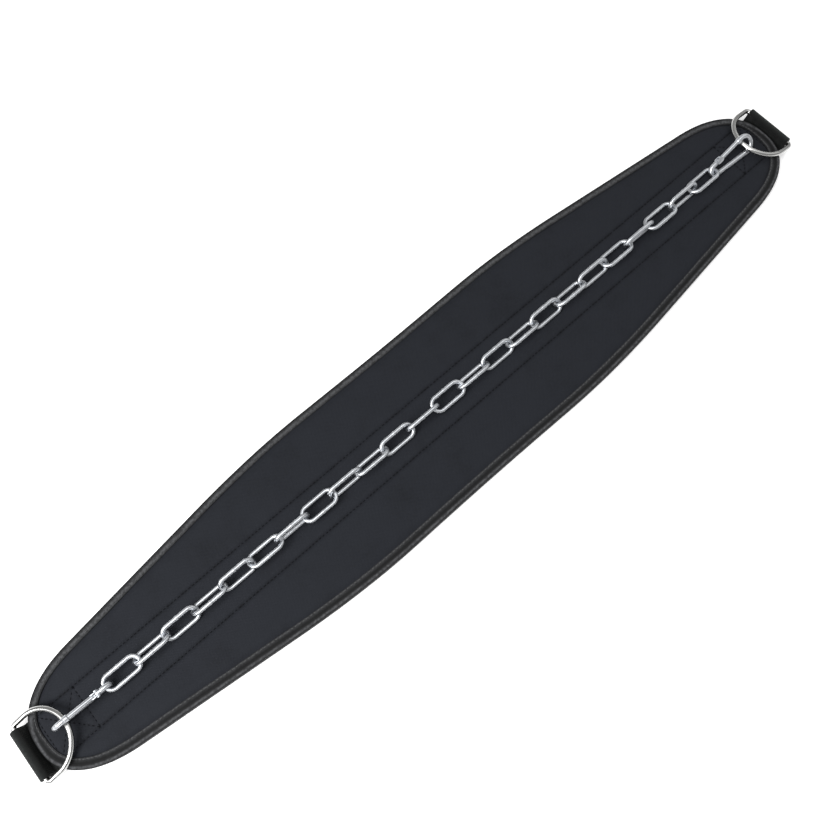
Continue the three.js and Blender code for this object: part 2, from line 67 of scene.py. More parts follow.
# How much closer together a long grid's columns lie at the belt's ends than in its middle
CROWDING = 0.32


class Side(Enum):
    """An end of the belt, with the sign of its X."""

    LEFT = -1
    RIGHT = 1

    @property
    def word(self) -> str:
        """The side's word in the names of pieces."""
        return self.name.lower()


class Weave(Enum):
    """How a cloth is woven."""

    PLAIN = auto()
    RIBBED = auto()
    HERRINGBONE = auto()


class Plating(Enum):
    """How a metal piece is plated, with the depth of its marks in millimetres."""

    POLISHED = 0.015
    BRIGHT_DIP = 0.035


def deselect_all() -> None:
    """Leaves edit mode and clears the selection."""
    if bpy.context.mode != "OBJECT":
        bpy.ops.object.mode_set(mode="OBJECT")
    bpy.ops.object.select_all(action="DESELECT")


def pick(piece: bpy.types.Object) -> None:
    """Selects one object alone and makes it the active one.

    Args:
        piece: The object.
    """
    deselect_all()
    piece.select_set(True)
    bpy.context.view_layer.objects.active = piece


def apply_place(piece: bpy.types.Object) -> None:
    """Puts an object's place, turn and scale into its mesh."""
    pick(piece)
    bpy.ops.object.transform_apply(location=True, rotation=True, scale=True)


def smooth_shade(piece: bpy.types.Object, angle: float = SMOOTH_ANGLE) -> None:
    """Shades an object smooth but for its edges that turn more sharply than the angle."""
    pick(piece)
    bpy.ops.object.shade_smooth_by_angle(angle=angle)


@contextmanager
def all_selected(piece: bpy.types.Object) -> Iterator[None]:
    """Opens an object in edit mode with all of it selected, and closes it at the end.

    Args:
        piece: The object.

    Returns:
        A context that lasts as long as edit mode.
    """
    pick(piece)
    bpy.ops.object.mode_set(mode="EDIT")
    bpy.ops.mesh.select_all(action="SELECT")
    yield
    bpy.ops.object.mode_set(mode="OBJECT")


def close_shell(piece: bpy.types.Object, distance: float = MERGE_DISTANCE) -> None:
    """Merges vertices that meet and turns every face outwards.

    Args:
        piece: The object.
        distance: How near two vertices are merged, in metres.
    """
    with all_selected(piece):
        bpy.ops.mesh.remove_doubles(threshold=distance)
        bpy.ops.mesh.normals_make_consistent(inside=False)


def fill_openings() -> None:
    """Closes every opening of the object that is in edit mode."""
    bpy.ops.mesh.select_all(action="DESELECT")
    bpy.ops.mesh.select_non_manifold()
    bpy.ops.mesh.fill_holes(sides=0)


def named(piece: bpy.types.Object, name: str) -> bpy.types.Object:
    """Gives an object and its mesh a name.

    Args:
        piece: The object.
        name: The name.

    Returns:
        The object.
    """
    piece.name = name
    piece.data.name = name
    return piece


def added(name: str, data: bpy.types.ID) -> bpy.types.Object:
    """Adds an object to the scene.

    Args:
        name: Its name.
        data: Its mesh, light or camera.

    Returns:
        The object.
    """
    piece = bpy.data.objects.new(name, data)
    bpy.context.scene.collection.objects.link(piece)
    return piece


def join_all(pieces: Sequence[bpy.types.Object], name: str) -> bpy.types.Object:
    """Joins objects into one.

    Args:
        pieces: The objects; the first one keeps its place.
        name: The joined object's name.

    Returns:
        The joined object.
    """
    deselect_all()
    for piece in pieces:
        piece.select_set(True)
    bpy.context.view_layer.objects.active = pieces[0]
    bpy.ops.object.join()
    return named(bpy.context.object, name)


def dress(
    piece: bpy.types.Object, material: bpy.types.Material, node: str, body: str = "belt"
) -> bpy.types.Object:
    """Gives a piece its finish and its part in the frame.

    Args:
        piece: The object.
        material: Its material, in place of any other.
        node: The node that it stands for.
        body: The body that it moves with.

    Returns:
        The object.
    """
    piece.data.materials.clear()
    piece.data.materials.append(material)
    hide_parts(node)
    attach(piece, body)
    return piece


class NumberedGrid:
    """A primitive grid whose vertices know their column, row and layer."""

    def __init__(self, name: str, columns: int, rows: int, thick: bool = False) -> None:
        """Adds the grid.

        Args:
            name: The object's name.
            columns: Faces along its first way.
            rows: Faces along its second way.
            thick: Whether it is extruded, which gives a closed slab of two layers.
        """
        deselect_all()
        bpy.ops.mesh.primitive_grid_add(x_subdivisions=columns, y_subdivisions=rows, size=2)
        self.piece = named(bpy.context.object, name)
        if thick:
            with all_selected(self.piece):
                bpy.ops.mesh.extrude_region_move(TRANSFORM_OT_translate={"value": (0, 0, 1)})
        start = vertex_places(self.piece) * MM
        self.column = np.rint((start[:, 0] + 1) / 2 * columns).astype(int)
        self.row = np.rint((start[:, 1] + 1) / 2 * rows).astype(int)
        self.layer = np.rint(start[:, 2]).astype(int)

    def lay(self, x: np.ndarray, y: np.ndarray, z: np.ndarray) -> bpy.types.Object:
        """Lays the vertices on a surface.

        Args:
            x: Their places along the belt, in millimetres.
            y: Their places across it.
            z: Their heights.

        Returns:
            The object.
        """
        places = np.stack([x, y, z], 1) * MM
        self.piece.data.vertices.foreach_set("co", places.ravel())
        self.piece.data.update()
        return self.piece


def paint(piece: bpy.types.Object, name: str, values: np.ndarray) -> None:
    """Stores a named share for each vertex, in their order, which the finishes read."""
    layer = piece.data.attributes.new(name, "FLOAT", "POINT")
    layer.data.foreach_set("value", np.asarray(values, dtype=np.float32))


def vertex_places(piece: bpy.types.Object) -> np.ndarray:
    """Where the vertices of an object lie.

    Args:
        piece: The object.

    Returns:
        Their places in millimetres, a row for each.
    """
    places = np.empty(len(piece.data.vertices) * 3)
    piece.data.vertices.foreach_get("co", places)
    return places.reshape(-1, 3) / MM


def crowded(share: np.ndarray) -> np.ndarray:
    """Moves even shares from -1 to 1 closer together at both ends."""
    return (1 + CROWDING) * share - CROWDING * share**3


@dataclass(frozen=True)
class Hump:
    """A round hump beside a line: its height at the line, and how far it spreads."""

    height: float
    spread: float

    def at(self, distance: np.ndarray) -> np.ndarray:
        """How high it is at some distances from the line."""
        return self.height * np.exp(-((distance / self.spread) ** 2))


def smooth_step(low: float, high: float, value: np.ndarray) -> np.ndarray:
    """Rises smoothly with a value, from 0 at low to 1 at high."""
    share = np.clip((value - low) / (high - low), 0, 1)
    return share * share * (3 - 2 * share)


@dataclass(frozen=True)
class Clouds:
    """Smooth unevenness over the belt: how long and wide its swells are, and its seed."""

    length: float
    width: float
    seed: float

    def at(self, x: np.ndarray, y: np.ndarray) -> np.ndarray:
        """The unevenness, from about -1 to 1, at places along and across the belt."""
        points = zip(x / self.length, y / self.width, strict=True)
        return np.array([noise.noise(Vector((a, b, self.seed))) for a, b in points]) * 2


@dataclass(frozen=True)
class Outline:
    """The belt's outline, binding included: a waist, shoulders, flares and rounded ends."""

    length: float = 905.0
    width: float = 167.0
    waist_dip: float = 1.2
    shoulder_from_middle: float = 160.0
    shoulder_blend: float = 8.0
    end_width: float = 112.0
    end_round_length: float = 69.0
    end_round_power: float = 2.5
    strap_lift: float = 4.6
    lift_full_to: float = 47.0
    lift_none_from: float = 57.0
    lift_run: float = 6.0
    tape_cover_far: float = 8.0
    tape_cover_near: float = 10.0
    near_to: float = -10.0
    far_from: float = 45.0
    quarter_points: int = 240
    fine_stations: int = 4000
    heading_reach: int = 3

    @property
    def end_round_start(self) -> float:
        """Where the end's rounding starts."""
        return self.length / 2 - self.end_round_length

    @property
    def flare_slope(self) -> float:
        """How much half of the width narrows for each millimetre along a flare."""
        run = self.end_round_start - self.shoulder_from_middle
        return (self.width - self.end_width) / 2 / run

    def side(self, x: np.ndarray) -> np.ndarray:
        """Half of the width in the shoulders and flares.

        Args:
            x: Places along the belt, 0 or more.

        Returns:
            The half widths.
        """
        along = np.minimum(x / self.shoulder_from_middle, 1)
        body = self.width / 2 - self.waist_dip * np.cos(along * math.pi / 2) ** 2
        flare = self.end_width / 2 + self.flare_slope * (self.end_round_start - x)
        near = np.maximum(self.shoulder_blend - np.abs(body - flare), 0) / self.shoulder_blend
        return np.minimum(body, flare) - near * near * self.shoulder_blend / 4

    def quarter(self) -> np.ndarray:
        """A quarter of the outline.

        Returns:
            Points from the middle of the upper side to the right tip.
        """
        x = np.linspace(0, self.end_round_start, self.quarter_points)
        side = np.stack([x, self.side(x)], 1)
        turn = np.linspace(0, math.pi / 2, self.quarter_points)
        power = 2 / self.end_round_power
        out = np.sin(turn) ** power * self.end_round_length
        start_width = self.end_width / 2
        width = (start_width - self.flare_slope * out) * np.maximum(np.cos(turn), 0) ** power
        width[-1] = 0
        end = np.stack([self.end_round_start + out, width], 1)
        return np.concatenate([side, end[1:]])

    def loop(self, count: int, inset: float = 0.0) -> tuple[np.ndarray, np.ndarray, np.ndarray]:
        """Stations evenly spaced round the outline, clockwise seen from above.

        Args:
            count: How many stations.
            inset: How far inside the outline the points lie.

        Returns:
            The points, the ways in and the distances along the outline.
        """
        right = self.quarter()
        upper = np.concatenate([(right[1:] * [-1, 1])[::-1], right])
        lower = (upper[1:-1] * [1, -1])[::-1]
        ring = np.concatenate([upper, lower, upper[:1]])
        steps = np.linalg.norm(np.diff(ring, axis=0), axis=1)
        run = np.concatenate([[0], np.cumsum(steps)])
        at = np.linspace(0, run[-1], count, endpoint=False)
        points = np.stack([np.interp(at, run, ring[:, 0]), np.interp(at, run, ring[:, 1])], 1)
        reach = self.heading_reach
        ahead = np.roll(points, -reach, axis=0) - np.roll(points, reach, axis=0)
        ahead /= np.linalg.norm(ahead, axis=1)[:, None]
        inward = np.stack([ahead[:, 1], -ahead[:, 0]], 1)
        return points + inward * inset, inward, at

    def lift(self, x: np.ndarray, y: np.ndarray) -> np.ndarray:
        """How far the doubled strap lifts the belt's underside, in millimetres.

        Args:
            x: Places along the belt.
            y: Places across it.

        Returns:
            The lifts.
        """
        across = 1 - smooth_step(self.lift_full_to, self.lift_none_from, np.abs(y))
        start = self.end_round_start
        along = smooth_step(start - self.lift_run, start + self.lift_run, np.abs(x))
        return self.strap_lift * across * along

    def upper_side(self, inset: float) -> np.ndarray:
        """The outline's upper half.

        Args:
            inset: How far inside the outline its points lie.

        Returns:
            The points, in order of X.
        """
        rim, _, _ = self.loop(self.fine_stations, inset)
        upper = rim[rim[:, 1] >= 0]
        return upper[np.argsort(upper[:, 0])]

    def far_share(self, y: np.ndarray) -> np.ndarray:
        """How much a place belongs to the belt's far edge: 0 at the near edge, 1 at the far one."""
        return smooth_step(self.near_to, self.far_from, y)

    def tape_cover(self, y: np.ndarray) -> np.ndarray:
        """How far the tape reaches in over the belt's face, which is less at the far edge."""
        narrower = self.tape_cover_near - self.tape_cover_far
        return self.tape_cover_near - narrower * self.far_share(y)


class Recipe:
    """Adds and joins the nodes of one material."""

    FIRST_COLOUR = 6
    SECOND_COLOUR = 7
    MIXED_COLOUR = 2

    def __init__(self, name: str) -> None:
        """Makes a material with a bare principled shader.

        Args:
            name: The material's name.
        """
        self.material = bpy.data.materials.new(name)
        self.material.use_nodes = True
        self.tree = self.material.node_tree
        self.shader = self.tree.nodes["Principled BSDF"]
        self.place = self.add("ShaderNodeTexCoord").outputs["Object"]

    def add(self, kind: str, inputs: dict | None = None, **settings: object) -> bpy.types.Node:
        """Adds a node.

        Args:
            kind: The node's type.
            inputs: Values or sockets for its inputs, by name or number.
            **settings: Its other settings.

        Returns:
            The node.
        """
        node = self.tree.nodes.new(kind)
        for key, value in settings.items():
            setattr(node, key, value)
        for key, value in (inputs or {}).items():
            self.put(node.inputs[key], value)
        return node

    def put(self, socket: bpy.types.NodeSocket, value: object) -> None:
        """Gives a socket a value, or links another node's socket to it.

        Args:
            socket: The input.
            value: A plain value or an output socket.
        """
        if isinstance(value, bpy.types.NodeSocket):
            self.tree.links.new(value, socket)
        else:
            socket.default_value = value

    def math(self, operation: str, *values: object) -> bpy.types.NodeSocket:
        """The output of a maths node, by its operation and its values or sockets."""
        inputs = dict(enumerate(values))
        return self.add("ShaderNodeMath", inputs, operation=operation).outputs[0]

    def clouds(self, scale: float, detail: float) -> bpy.types.NodeSocket:
        """The value of a noise texture on the object's own places, from 0 to 1."""
        inputs = {"Vector": self.place, "Scale": scale, "Detail": detail}
        return self.add("ShaderNodeTexNoise", inputs).outputs["Fac"]

    def share(self, name: str) -> bpy.types.NodeSocket:
        """The share that is painted on each vertex under a name."""
        return self.add("ShaderNodeAttribute", attribute_name=name).outputs["Fac"]

    def spread(
        self, value: object, reads: tuple[float, float], gives: tuple[float, float]
    ) -> bpy.types.NodeSocket:
        """Spreads the stretch of values that it reads over the one that it gives."""
        inputs = {0: value, 1: reads[0], 2: reads[1], 3: gives[0], 4: gives[1]}
        return self.add("ShaderNodeMapRange", inputs).outputs[0]

    def ramp(self, value: object, stops: Sequence[tuple[float, Sequence[float]]]) -> object:
        """A colour ramp's colour.

        Args:
            value: The socket that it reads.
            stops: Places from 0 to 1 with their colours.

        Returns:
            The colour socket.
        """
        node = self.add("ShaderNodeValToRGB", {"Fac": value})
        elements = node.color_ramp.elements
        while len(elements) < len(stops):
            elements.new(0.5)
        for element, (at, colour) in zip(elements, stops, strict=True):
            element.position = at
            element.color = (*colour, 1)
        return node.outputs["Color"]

    def mixed(self, share: object, first: object, second: object) -> bpy.types.NodeSocket:
        """A mix of two colours.

        Args:
            share: How much of the second there is, from 0 to 1.
            first: The first colour or its socket.
            second: The second colour.

        Returns:
            The colour socket.
        """
        node = self.add("ShaderNodeMix", {"Factor": share}, data_type="RGBA")
        self.put(node.inputs[self.FIRST_COLOUR], first)
        self.put(node.inputs[self.SECOND_COLOUR], (*second, 1))
        return node.outputs[self.MIXED_COLOUR]

    def bump(self, height: object, depth_mm: float, strength: float = 1.0) -> None:
        """Leads a height to the shader's normal.

        Args:
            height: The socket with the height, from 0 to 1.
            depth_mm: How deep the relief is.
            strength: How strongly it shows.
        """
        inputs = {"Height": height, "Distance": depth_mm * MM, "Strength": strength}
        node = self.add("ShaderNodeBump", inputs)
        self.put(self.shader.inputs["Normal"], node.outputs["Normal"])

    def shade(self, **values: object) -> None:
        """Sets the shader's inputs, by their names with _ for each space."""
        for key, value in values.items():
            self.put(self.shader.inputs[key.replace("_", " ")], value)


@dataclass(frozen=True)
class Finish:
    """What every finish has: a name and a base colour."""

    name: str
    colour: tuple[float, float, float]

    def tinted(self, share: float) -> tuple[float, float, float]:
        """The colour made lighter or darker by a share."""
        return tuple(min(c * share, 1.0) for c in self.colour)


@dataclass(frozen=True)
class ClothFinish(Finish):
    """Dyed cloth with its weave, mottling and fuzz. Lengths are in millimetres."""

    weave: Weave
    thread_pitch: float
    relief: float
    width: float = 1.0
    length: float = 1.0
    mottle: float = 0.2
    # How much the painted highlight lightens the colour, and how much the painted shade darkens it
    painted_highlight: float = 2.0
    painted_shade_tint: float = 0.2
    roughness: float = 0.75
    sheen: float = 0.02
    mottling_scale: float = 38.0
    grain_scale: float = 420.0
    fuzz_scale: float = 1400.0
    fuzz: float = 0.7
    zigzag: float = 2.0
    grain_share: float = 0.5
    weave_share: float = 0.3
    tone_stops: tuple[float, float, float] = (0.55, 0.67, 0.95)
    highlight_grain: tuple[float, float] = (0.36, 0.64)
    highlight_shares: tuple[float, float] = (0.45, 1.3)
    specular: float = 0.16

    def threads(self, recipe: Recipe) -> bpy.types.NodeSocket:
        """The height of the weave.

        Args:
            recipe: The material's recipe.

        Returns:
            A socket from 0 to 1.
        """
        if self.weave is Weave.PLAIN:
            split = recipe.add("ShaderNodeSeparateXYZ", {0: recipe.place})
            turns = math.pi / MM / self.thread_pitch
            waves = [recipe.math("MULTIPLY", split.outputs[k], turns) for k in (0, 1)]
            over = recipe.math("MULTIPLY", *(recipe.math("SINE", wave) for wave in waves))
            return recipe.math("MULTIPLY_ADD", over, 0.5, 0.5)
        place = recipe.add("ShaderNodeUVMap").outputs["UV"]
        split = recipe.add("ShaderNodeSeparateXYZ", {0: place})
        ribs = recipe.math("MULTIPLY", split.outputs[0], self.length / self.thread_pitch)
        if self.weave is Weave.HERRINGBONE:
            across = recipe.math("MULTIPLY", split.outputs[1], self.width / self.thread_pitch)
            ribs = recipe.math("ADD", ribs, recipe.math("PINGPONG", across, self.zigzag))
        rib = recipe.math("SINE", recipe.math("MULTIPLY", ribs, 2 * math.pi))
        return recipe.math("MULTIPLY_ADD", rib, 0.5, 0.5)

    def make(self) -> bpy.types.Material:
        """The material.

        Returns:
            A new material.
        """
        recipe = Recipe(self.name)
        height = self.threads(recipe)
        fuzz = recipe.clouds(self.fuzz_scale, 2.0)
        raised = recipe.math("ADD", height, recipe.math("MULTIPLY", fuzz, self.fuzz))
        mottling = recipe.clouds(self.mottling_scale, 5.0)
        grain = recipe.clouds(self.grain_scale, 3.0)
        tone = recipe.math("ADD", mottling, recipe.math("MULTIPLY", grain, self.grain_share))
        tone = recipe.math("ADD", tone, recipe.math("MULTIPLY", height, self.weave_share))
        tints = (self.tinted(1 - self.mottle), self.colour, self.tinted(1 + self.mottle))
        colour = recipe.ramp(tone, list(zip(self.tone_stops, tints, strict=True)))
        # Painted highlight, broken up by the grain, then painted shade, each from a share painted on
        # the vertices
        highlight_breakup = recipe.spread(grain, self.highlight_grain, self.highlight_shares)
        painted_highlight = recipe.math("MULTIPLY", recipe.share("painted_highlight"), highlight_breakup)
        colour = recipe.mixed(painted_highlight, colour, self.tinted(self.painted_highlight))
        colour = recipe.mixed(recipe.share("painted_shade"), colour, self.tinted(self.painted_shade_tint))
        recipe.shade(
            Base_Color=colour,
            Roughness=self.roughness,
            Specular_IOR_Level=self.specular,
            Sheen_Weight=self.sheen,
            Sheen_Roughness=0.5,
        )
        recipe.bump(raised, self.relief)
        return recipe.material


@dataclass(frozen=True)
class MetalFinish(Finish):
    """Plated steel wire with fine handling marks."""

    plating: Plating
    smoothest: float
    roughest: float
    patch_scale: float = 90.0
    mark_scale: float = 260.0
    mark_strength: float = 0.6
    patch_reach: tuple[float, float] = (0.35, 0.7)
    tone_stops: tuple[float, float] = (0.3, 0.7)
    dulled: float = 0.86

    def make(self) -> bpy.types.Material:
        """The material.

        Returns:
            A new material.
        """
        recipe = Recipe(self.name)
        patches = recipe.clouds(self.patch_scale, 4.0)
        marks = recipe.clouds(self.mark_scale, 2.0)
        roughness = recipe.spread(patches, self.patch_reach, (self.smoothest, self.roughest))
        tints = (self.tinted(self.dulled), self.colour)
        tone = recipe.ramp(patches, list(zip(self.tone_stops, tints, strict=True)))
        recipe.shade(Base_Color=tone, Metallic=1.0, Roughness=roughness)
        recipe.bump(marks, self.plating.value, self.mark_strength)
        return recipe.material


@dataclass(frozen=True)
class ThreadFinish(Finish):
    """Sewing thread."""

    twist_scale: float = 1800.0
    tone_stops: tuple[float, float] = (0.3, 0.7)
    darkened: float = 0.7
    relief: float = 0.08
    roughness: float = 0.8
    specular: float = 0.1

    def make(self) -> bpy.types.Material:
        """The material.

        Returns:
            A new material.
        """
        recipe = Recipe(self.name)
        twist = recipe.clouds(self.twist_scale, 2.0)
        tints = (self.tinted(self.darkened), self.colour)
        tone = recipe.ramp(twist, list(zip(self.tone_stops, tints, strict=True)))
        recipe.shade(
            Base_Color=tone, Roughness=self.roughness, Specular_IOR_Level=self.specular
        )
        recipe.bump(twist, self.relief)
        return recipe.material


@dataclass
class CoverCloth:
    """The face's cover as a sheet of cloth, held at its seams and swelled by the foam."""

    outline: Outline
    held: Callable[[np.ndarray, np.ndarray], np.ndarray]
    edge_inset: float = 2.0
    columns: int = 150
    rows: int = 36
    pressure: float = 4.0
    slack: float = 0.0004
    last_frame: int = 20
    most_rise: float = 1.2
    unswelled_rise: float = 0.6
    least_half: float = 1.0

    def half_width(self, x: np.ndarray) -> np.ndarray:
        """Half of the sheet's width at places along the belt."""
        upper = self.outline.upper_side(self.edge_inset)
        return np.interp(x, upper[:, 0], upper[:, 1])

    def columns_at(self) -> np.ndarray:
        """Where the sheet's columns lie along the belt."""
        reach = self.outline.upper_side(self.edge_inset)[-1, 0]
        return reach * crowded(np.linspace(-1, 1, self.columns + 1))

    def sheet(self) -> bpy.types.Object:
        """The flat sheet, with a vertex group where it is held.

        Returns:
            The sheet.
        """
        grid = NumberedGrid("cover_cloth", self.columns, self.rows)
        x = self.columns_at()[grid.column]
        y = self.half_width(x) * (2 * grid.row / self.rows - 1)
        sheet = grid.lay(x, y, np.zeros(len(x)))
        spots = vertex_places(sheet)
        group = sheet.vertex_groups.new(name="held")
        group.add(np.flatnonzero(self.held(spots[:, 0], spots[:, 1])).tolist(), 1.0, "REPLACE")
        return sheet

    def swelled(self) -> np.ndarray:
        """Blows the held sheet up from below.

        Returns:
            How far it rises, with a row for each of its rows.
        """
        sheet = self.sheet()
        cloth = sheet.modifiers.new("cover", "CLOTH")
        cloth.settings.vertex_group_mass = "held"
        cloth.settings.use_pressure = True
        cloth.settings.uniform_pressure_force = self.pressure
        cloth.settings.effector_weights.gravity = 0.0
        cloth.settings.shrink_min = -self.slack
        cloth.collision_settings.use_collision = False
        cloth.point_cache.frame_start = 1
        cloth.point_cache.frame_end = self.last_frame
        scene = bpy.context.scene
        for moment in range(1, self.last_frame + 1):
            scene.frame_set(moment)
        pick(sheet)
        bpy.ops.object.modifier_apply(modifier=cloth.name)
        spots = vertex_places(sheet)
        bpy.data.meshes.remove(sheet.data)
        scene.frame_set(1)
        return spots[:, 2].reshape(self.rows + 1, self.columns + 1)

    def rise(self, x: np.ndarray, y: np.ndarray) -> np.ndarray:
        """How far the swelled cover rises.

        Args:
            x: Places along the belt.
            y: Places across it.

        Returns:
            The rises, in millimetres.
        """
        heights = self.swelled()
        column = np.interp(x, self.columns_at(), np.arange(self.columns + 1))
        half = np.maximum(self.half_width(x), self.least_half)
        row = np.clip((y / half + 1) / 2, 0, 1) * self.rows
        left = np.minimum(column.astype(int), self.columns - 1)
        below = np.minimum(row.astype(int), self.rows - 1)
        right_share, above_share = column - left, row - below
        lower = heights[below, left] * (1 - right_share) + heights[below, left + 1] * right_share
        upper = heights[below + 1, left] * (1 - right_share)
        upper += heights[below + 1, left + 1] * right_share
        return np.clip(lower * (1 - above_share) + upper * above_share, 0, self.most_rise)


@dataclass
class PadCover:
    """The padded body: foam under a woven cover, drawn in at the seams and the tape."""

    outline: Outline
    finish: ClothFinish
    columns: int = 560
    rows: int = 60
    edge_inset: float = 2.0
    tip_gap: float = 0.05
    rim_stations: int = 1400
    rim_batch: int = 100
    even_from: float = 29.5
    even_crowding: float = 1.3
    least_half: float = 34.0
    under_tape: float = 9.0
    crown: float = 11.5
    crown_spread: float = 2.2
    seam_y: float = 21.7
    seam_groove: Hump = Hump(1.2, 1.7)
    seam_shade: Hump = Hump(0.55, 1.1)
    seam_end: float = 401.0
    box_groove: Hump = Hump(0.54, 1.7)
    box_shade: Hump = Hump(0.3, 0.9)
    box_end: float = 440.0
    tape_shade: Hump = Hump(0.1, 1.6)
    shade_least: float = 0.7
    shade_unevenness: float = 0.6
    shade_clouds: Clouds = Clouds(5, 5, 9.2)
    hold_reach: float = 2.1
    hold_past_tape: float = 1.0
    swell: float = 0.15
    swells: Clouds = Clouds(95, 55, 1.7)
    pucker: float = 0.2
    puckers: Clouds = Clouds(8, 22, 5.3)
    puckers_at_seam: Hump = Hump(1.0, 7.0)
    puckers_at_tape: Hump = Hump(1.3, 6.0)
    back: float = 0.5
    back_swell: float = 0.15
    back_swells: Clouds = Clouds(60, 40, 8.1)
    back_rim: float = 1.5
    back_rim_to: float = 9.0
    back_plain_from: float = 12.0
    channel_half: float = 25.6
    channel_slope: float = 3.0
    channel_top: float = 2.35
    face_above: float = 6.0
    fill: float = 0.9

    # The grid's lines from the middle to just past a seam, closest together at the seam
    SEAM_LINES = (0, 4, 8, 11.5, 14.5, 16.7, 18.3, 19.5, 20.4, 21.1, 21.7, 22.3, 23, 23.9, 25.1, 26.9)

    def grid_lines(self) -> tuple[np.ndarray, np.ndarray]:
        """Where the grid's lines lie on the belt.

        Returns:
            X and Y of each crossing, with a row of the arrays for each column.
        """
        upper = self.outline.upper_side(self.edge_inset)
        reach = upper[-1, 0] - self.tip_gap
        x = reach * crowded(np.linspace(-1, 1, self.columns + 1))
        half = np.interp(x, upper[:, 0], upper[:, 1])
        count = self.rows // 2 - len(self.SEAM_LINES) + 1
        share = 1 - (1 - np.arange(count) / (count - 1)) ** self.even_crowding
        room = np.maximum(half, self.least_half)
        outer = self.even_from + (room[:, None] - self.even_from) * share[None, :]
        ladder = np.concatenate([np.tile(self.SEAM_LINES, (len(x), 1)), outer], axis=1)
        ladder *= (half / room)[:, None]
        y = np.concatenate([-ladder[:, :0:-1], ladder], axis=1)
        return np.tile(x[:, None], (1, y.shape[1])), y

    def stitch_lines(self) -> list[tuple[tuple[float, float], tuple[float, float]]]:
        """The lines of the crossed boxes that hold the strap's ends.

        Returns:
            Pairs of end points.
        """
        lines = []
        for side in Side:
            near = side.value * self.seam_end
            far = side.value * self.box_end
            y = self.seam_y
            lines += [((near, -y), (near, y)), ((far, -y), (far, y))]
            lines += [((near, -y), (far, y)), ((near, y), (far, -y))]
        return lines

    def distance_in(self, x: np.ndarray, y: np.ndarray) -> np.ndarray:
        """Distance from the outline.

        Args:
            x: Places along the belt.
            y: Places across it.

        Returns:
            The distances.
        """
        ring, _, _ = self.outline.loop(self.rim_stations)
        best = np.full(x.shape, np.inf)
        for start in range(0, len(ring), self.rim_batch):
            part = ring[start : start + self.rim_batch]
            dx = x[:, None] - part[None, :, 0]
            dy = y[:, None] - part[None, :, 1]
            best = np.minimum(best, (dx * dx + dy * dy).min(1))
        return np.sqrt(best)

    def line_distance(self, x: np.ndarray, y: np.ndarray) -> tuple[np.ndarray, np.ndarray]:
        """Distances from the seams and from the crossed boxes.

        Args:
            x: Places along the belt.
            y: Places across it.

        Returns:
            The distance from the nearest seam and from the nearest line of a box.
        """
        past = np.maximum(np.abs(x) - self.box_end, 0)
        seam = np.hypot(np.abs(y) - self.seam_y, past)
        box = np.full(x.shape, np.inf)
        for (ax, ay), (bx, by) in self.stitch_lines():
            along = np.array([bx - ax, by - ay])
            length = np.linalg.norm(along)
            along = along / length
            t = np.clip((x - ax) * along[0] + (y - ay) * along[1], 0, length)
            box = np.minimum(box, np.hypot(x - ax - t * along[0], y - ay - t * along[1]))
        return seam, box

    def painted_shade(self, x: np.ndarray, y: np.ndarray) -> np.ndarray:
        """How much painted shade darkens the cover beside its stitching and its tape, from 0 to 1.

        Args:
            x: Places along the belt.
            y: Places across it.

        Returns:
            The shares.
        """
        seam, box = self.line_distance(x, y)
        tape = np.abs(self.distance_in(x, y) - self.outline.tape_cover(y))
        uneven = self.shade_least + self.shade_unevenness * self.shade_clouds.at(x, y)
        shade = self.seam_shade.at(seam) + self.box_shade.at(box) + self.tape_shade.at(tape)
        return np.clip(shade * uneven, 0, 1)

    def held(self, x: np.ndarray, y: np.ndarray) -> np.ndarray:
        """Where the cover is sewn down: on the seams, the crossed boxes and under the tape.

        Args:
            x: Places along the belt.
            y: Places across it.

        Returns:
            Whether each place is held.
        """
        seam, box = self.line_distance(x, y)
        inside = self.distance_in(x, y) - self.outline.tape_cover(y)
        return (np.minimum(seam, box) < self.hold_reach) | (inside < self.hold_past_tape)

    def face_height(self, x: np.ndarray, y: np.ndarray) -> np.ndarray:
        """Height of the padded face.

        Args:
            x: Places along the belt.
            y: Places across it.

        Returns:
            The heights.
        """
        inside = self.distance_in(x, y) - self.outline.tape_cover(y)
        rise = 1 - np.exp(-np.maximum(inside, 0) / self.crown_spread)
        height = self.under_tape + (self.crown - self.under_tape) * rise
        height += CoverCloth(self.outline, self.held, self.edge_inset).rise(x, y)
        height += self.swell * self.swells.at(x, y) * rise
        beside = self.puckers_at_seam.at(np.abs(y) - self.seam_y)
        beside += self.puckers_at_tape.at(np.maximum(inside, 0))
        height += self.pucker * beside * self.puckers.at(x, y) * rise
        seam, box = self.line_distance(x, y)
        return height - (self.seam_groove.at(seam) + self.box_groove.at(box)) * rise

    def back_height(self, x: np.ndarray, y: np.ndarray) -> np.ndarray:
        """Height of the back, which lies on the strap in the middle.

        Args:
            x: Places along the belt.
            y: Places across it.

        Returns:
            The heights.
        """
        lift = self.outline.lift(x, y)
        channel_end = self.channel_half + self.channel_slope
        over = 1 - smooth_step(self.channel_half, channel_end, np.abs(y))
        plain = self.back + self.back_swell * self.back_swells.at(x, y)
        height = plain + (self.channel_top - plain) * over
        inset = self.distance_in(x, y)
        rim = self.back_rim * (1 - smooth_step(self.back_rim_to, self.back_plain_from, inset))
        return np.maximum(height + rim * (1 - over), lift + rim)

    def build(self) -> bpy.types.Object:
        """Makes the pad.

        Returns:
            The finished object.
        """
        grid = NumberedGrid("pad_cover", self.columns, self.rows, thick=True)
        x, y = (lines[grid.column, grid.row] for lines in self.grid_lines())
        face = grid.layer == 1
        z = np.empty(len(x))
        z[face] = self.face_height(x[face], y[face])
        z[~face] = self.back_height(x[~face], y[~face])
        piece = grid.lay(x, y, z)
        close_shell(piece)
        x, y, z = vertex_places(piece).T
        # Painted shade beside the seams, the crossed boxes and the tape, on the face only
        paint(piece, "painted_shade", self.painted_shade(x, y) * (z > self.face_above))
        smooth_shade(piece)
        return dress(piece, self.finish.make(), "belt_pad")


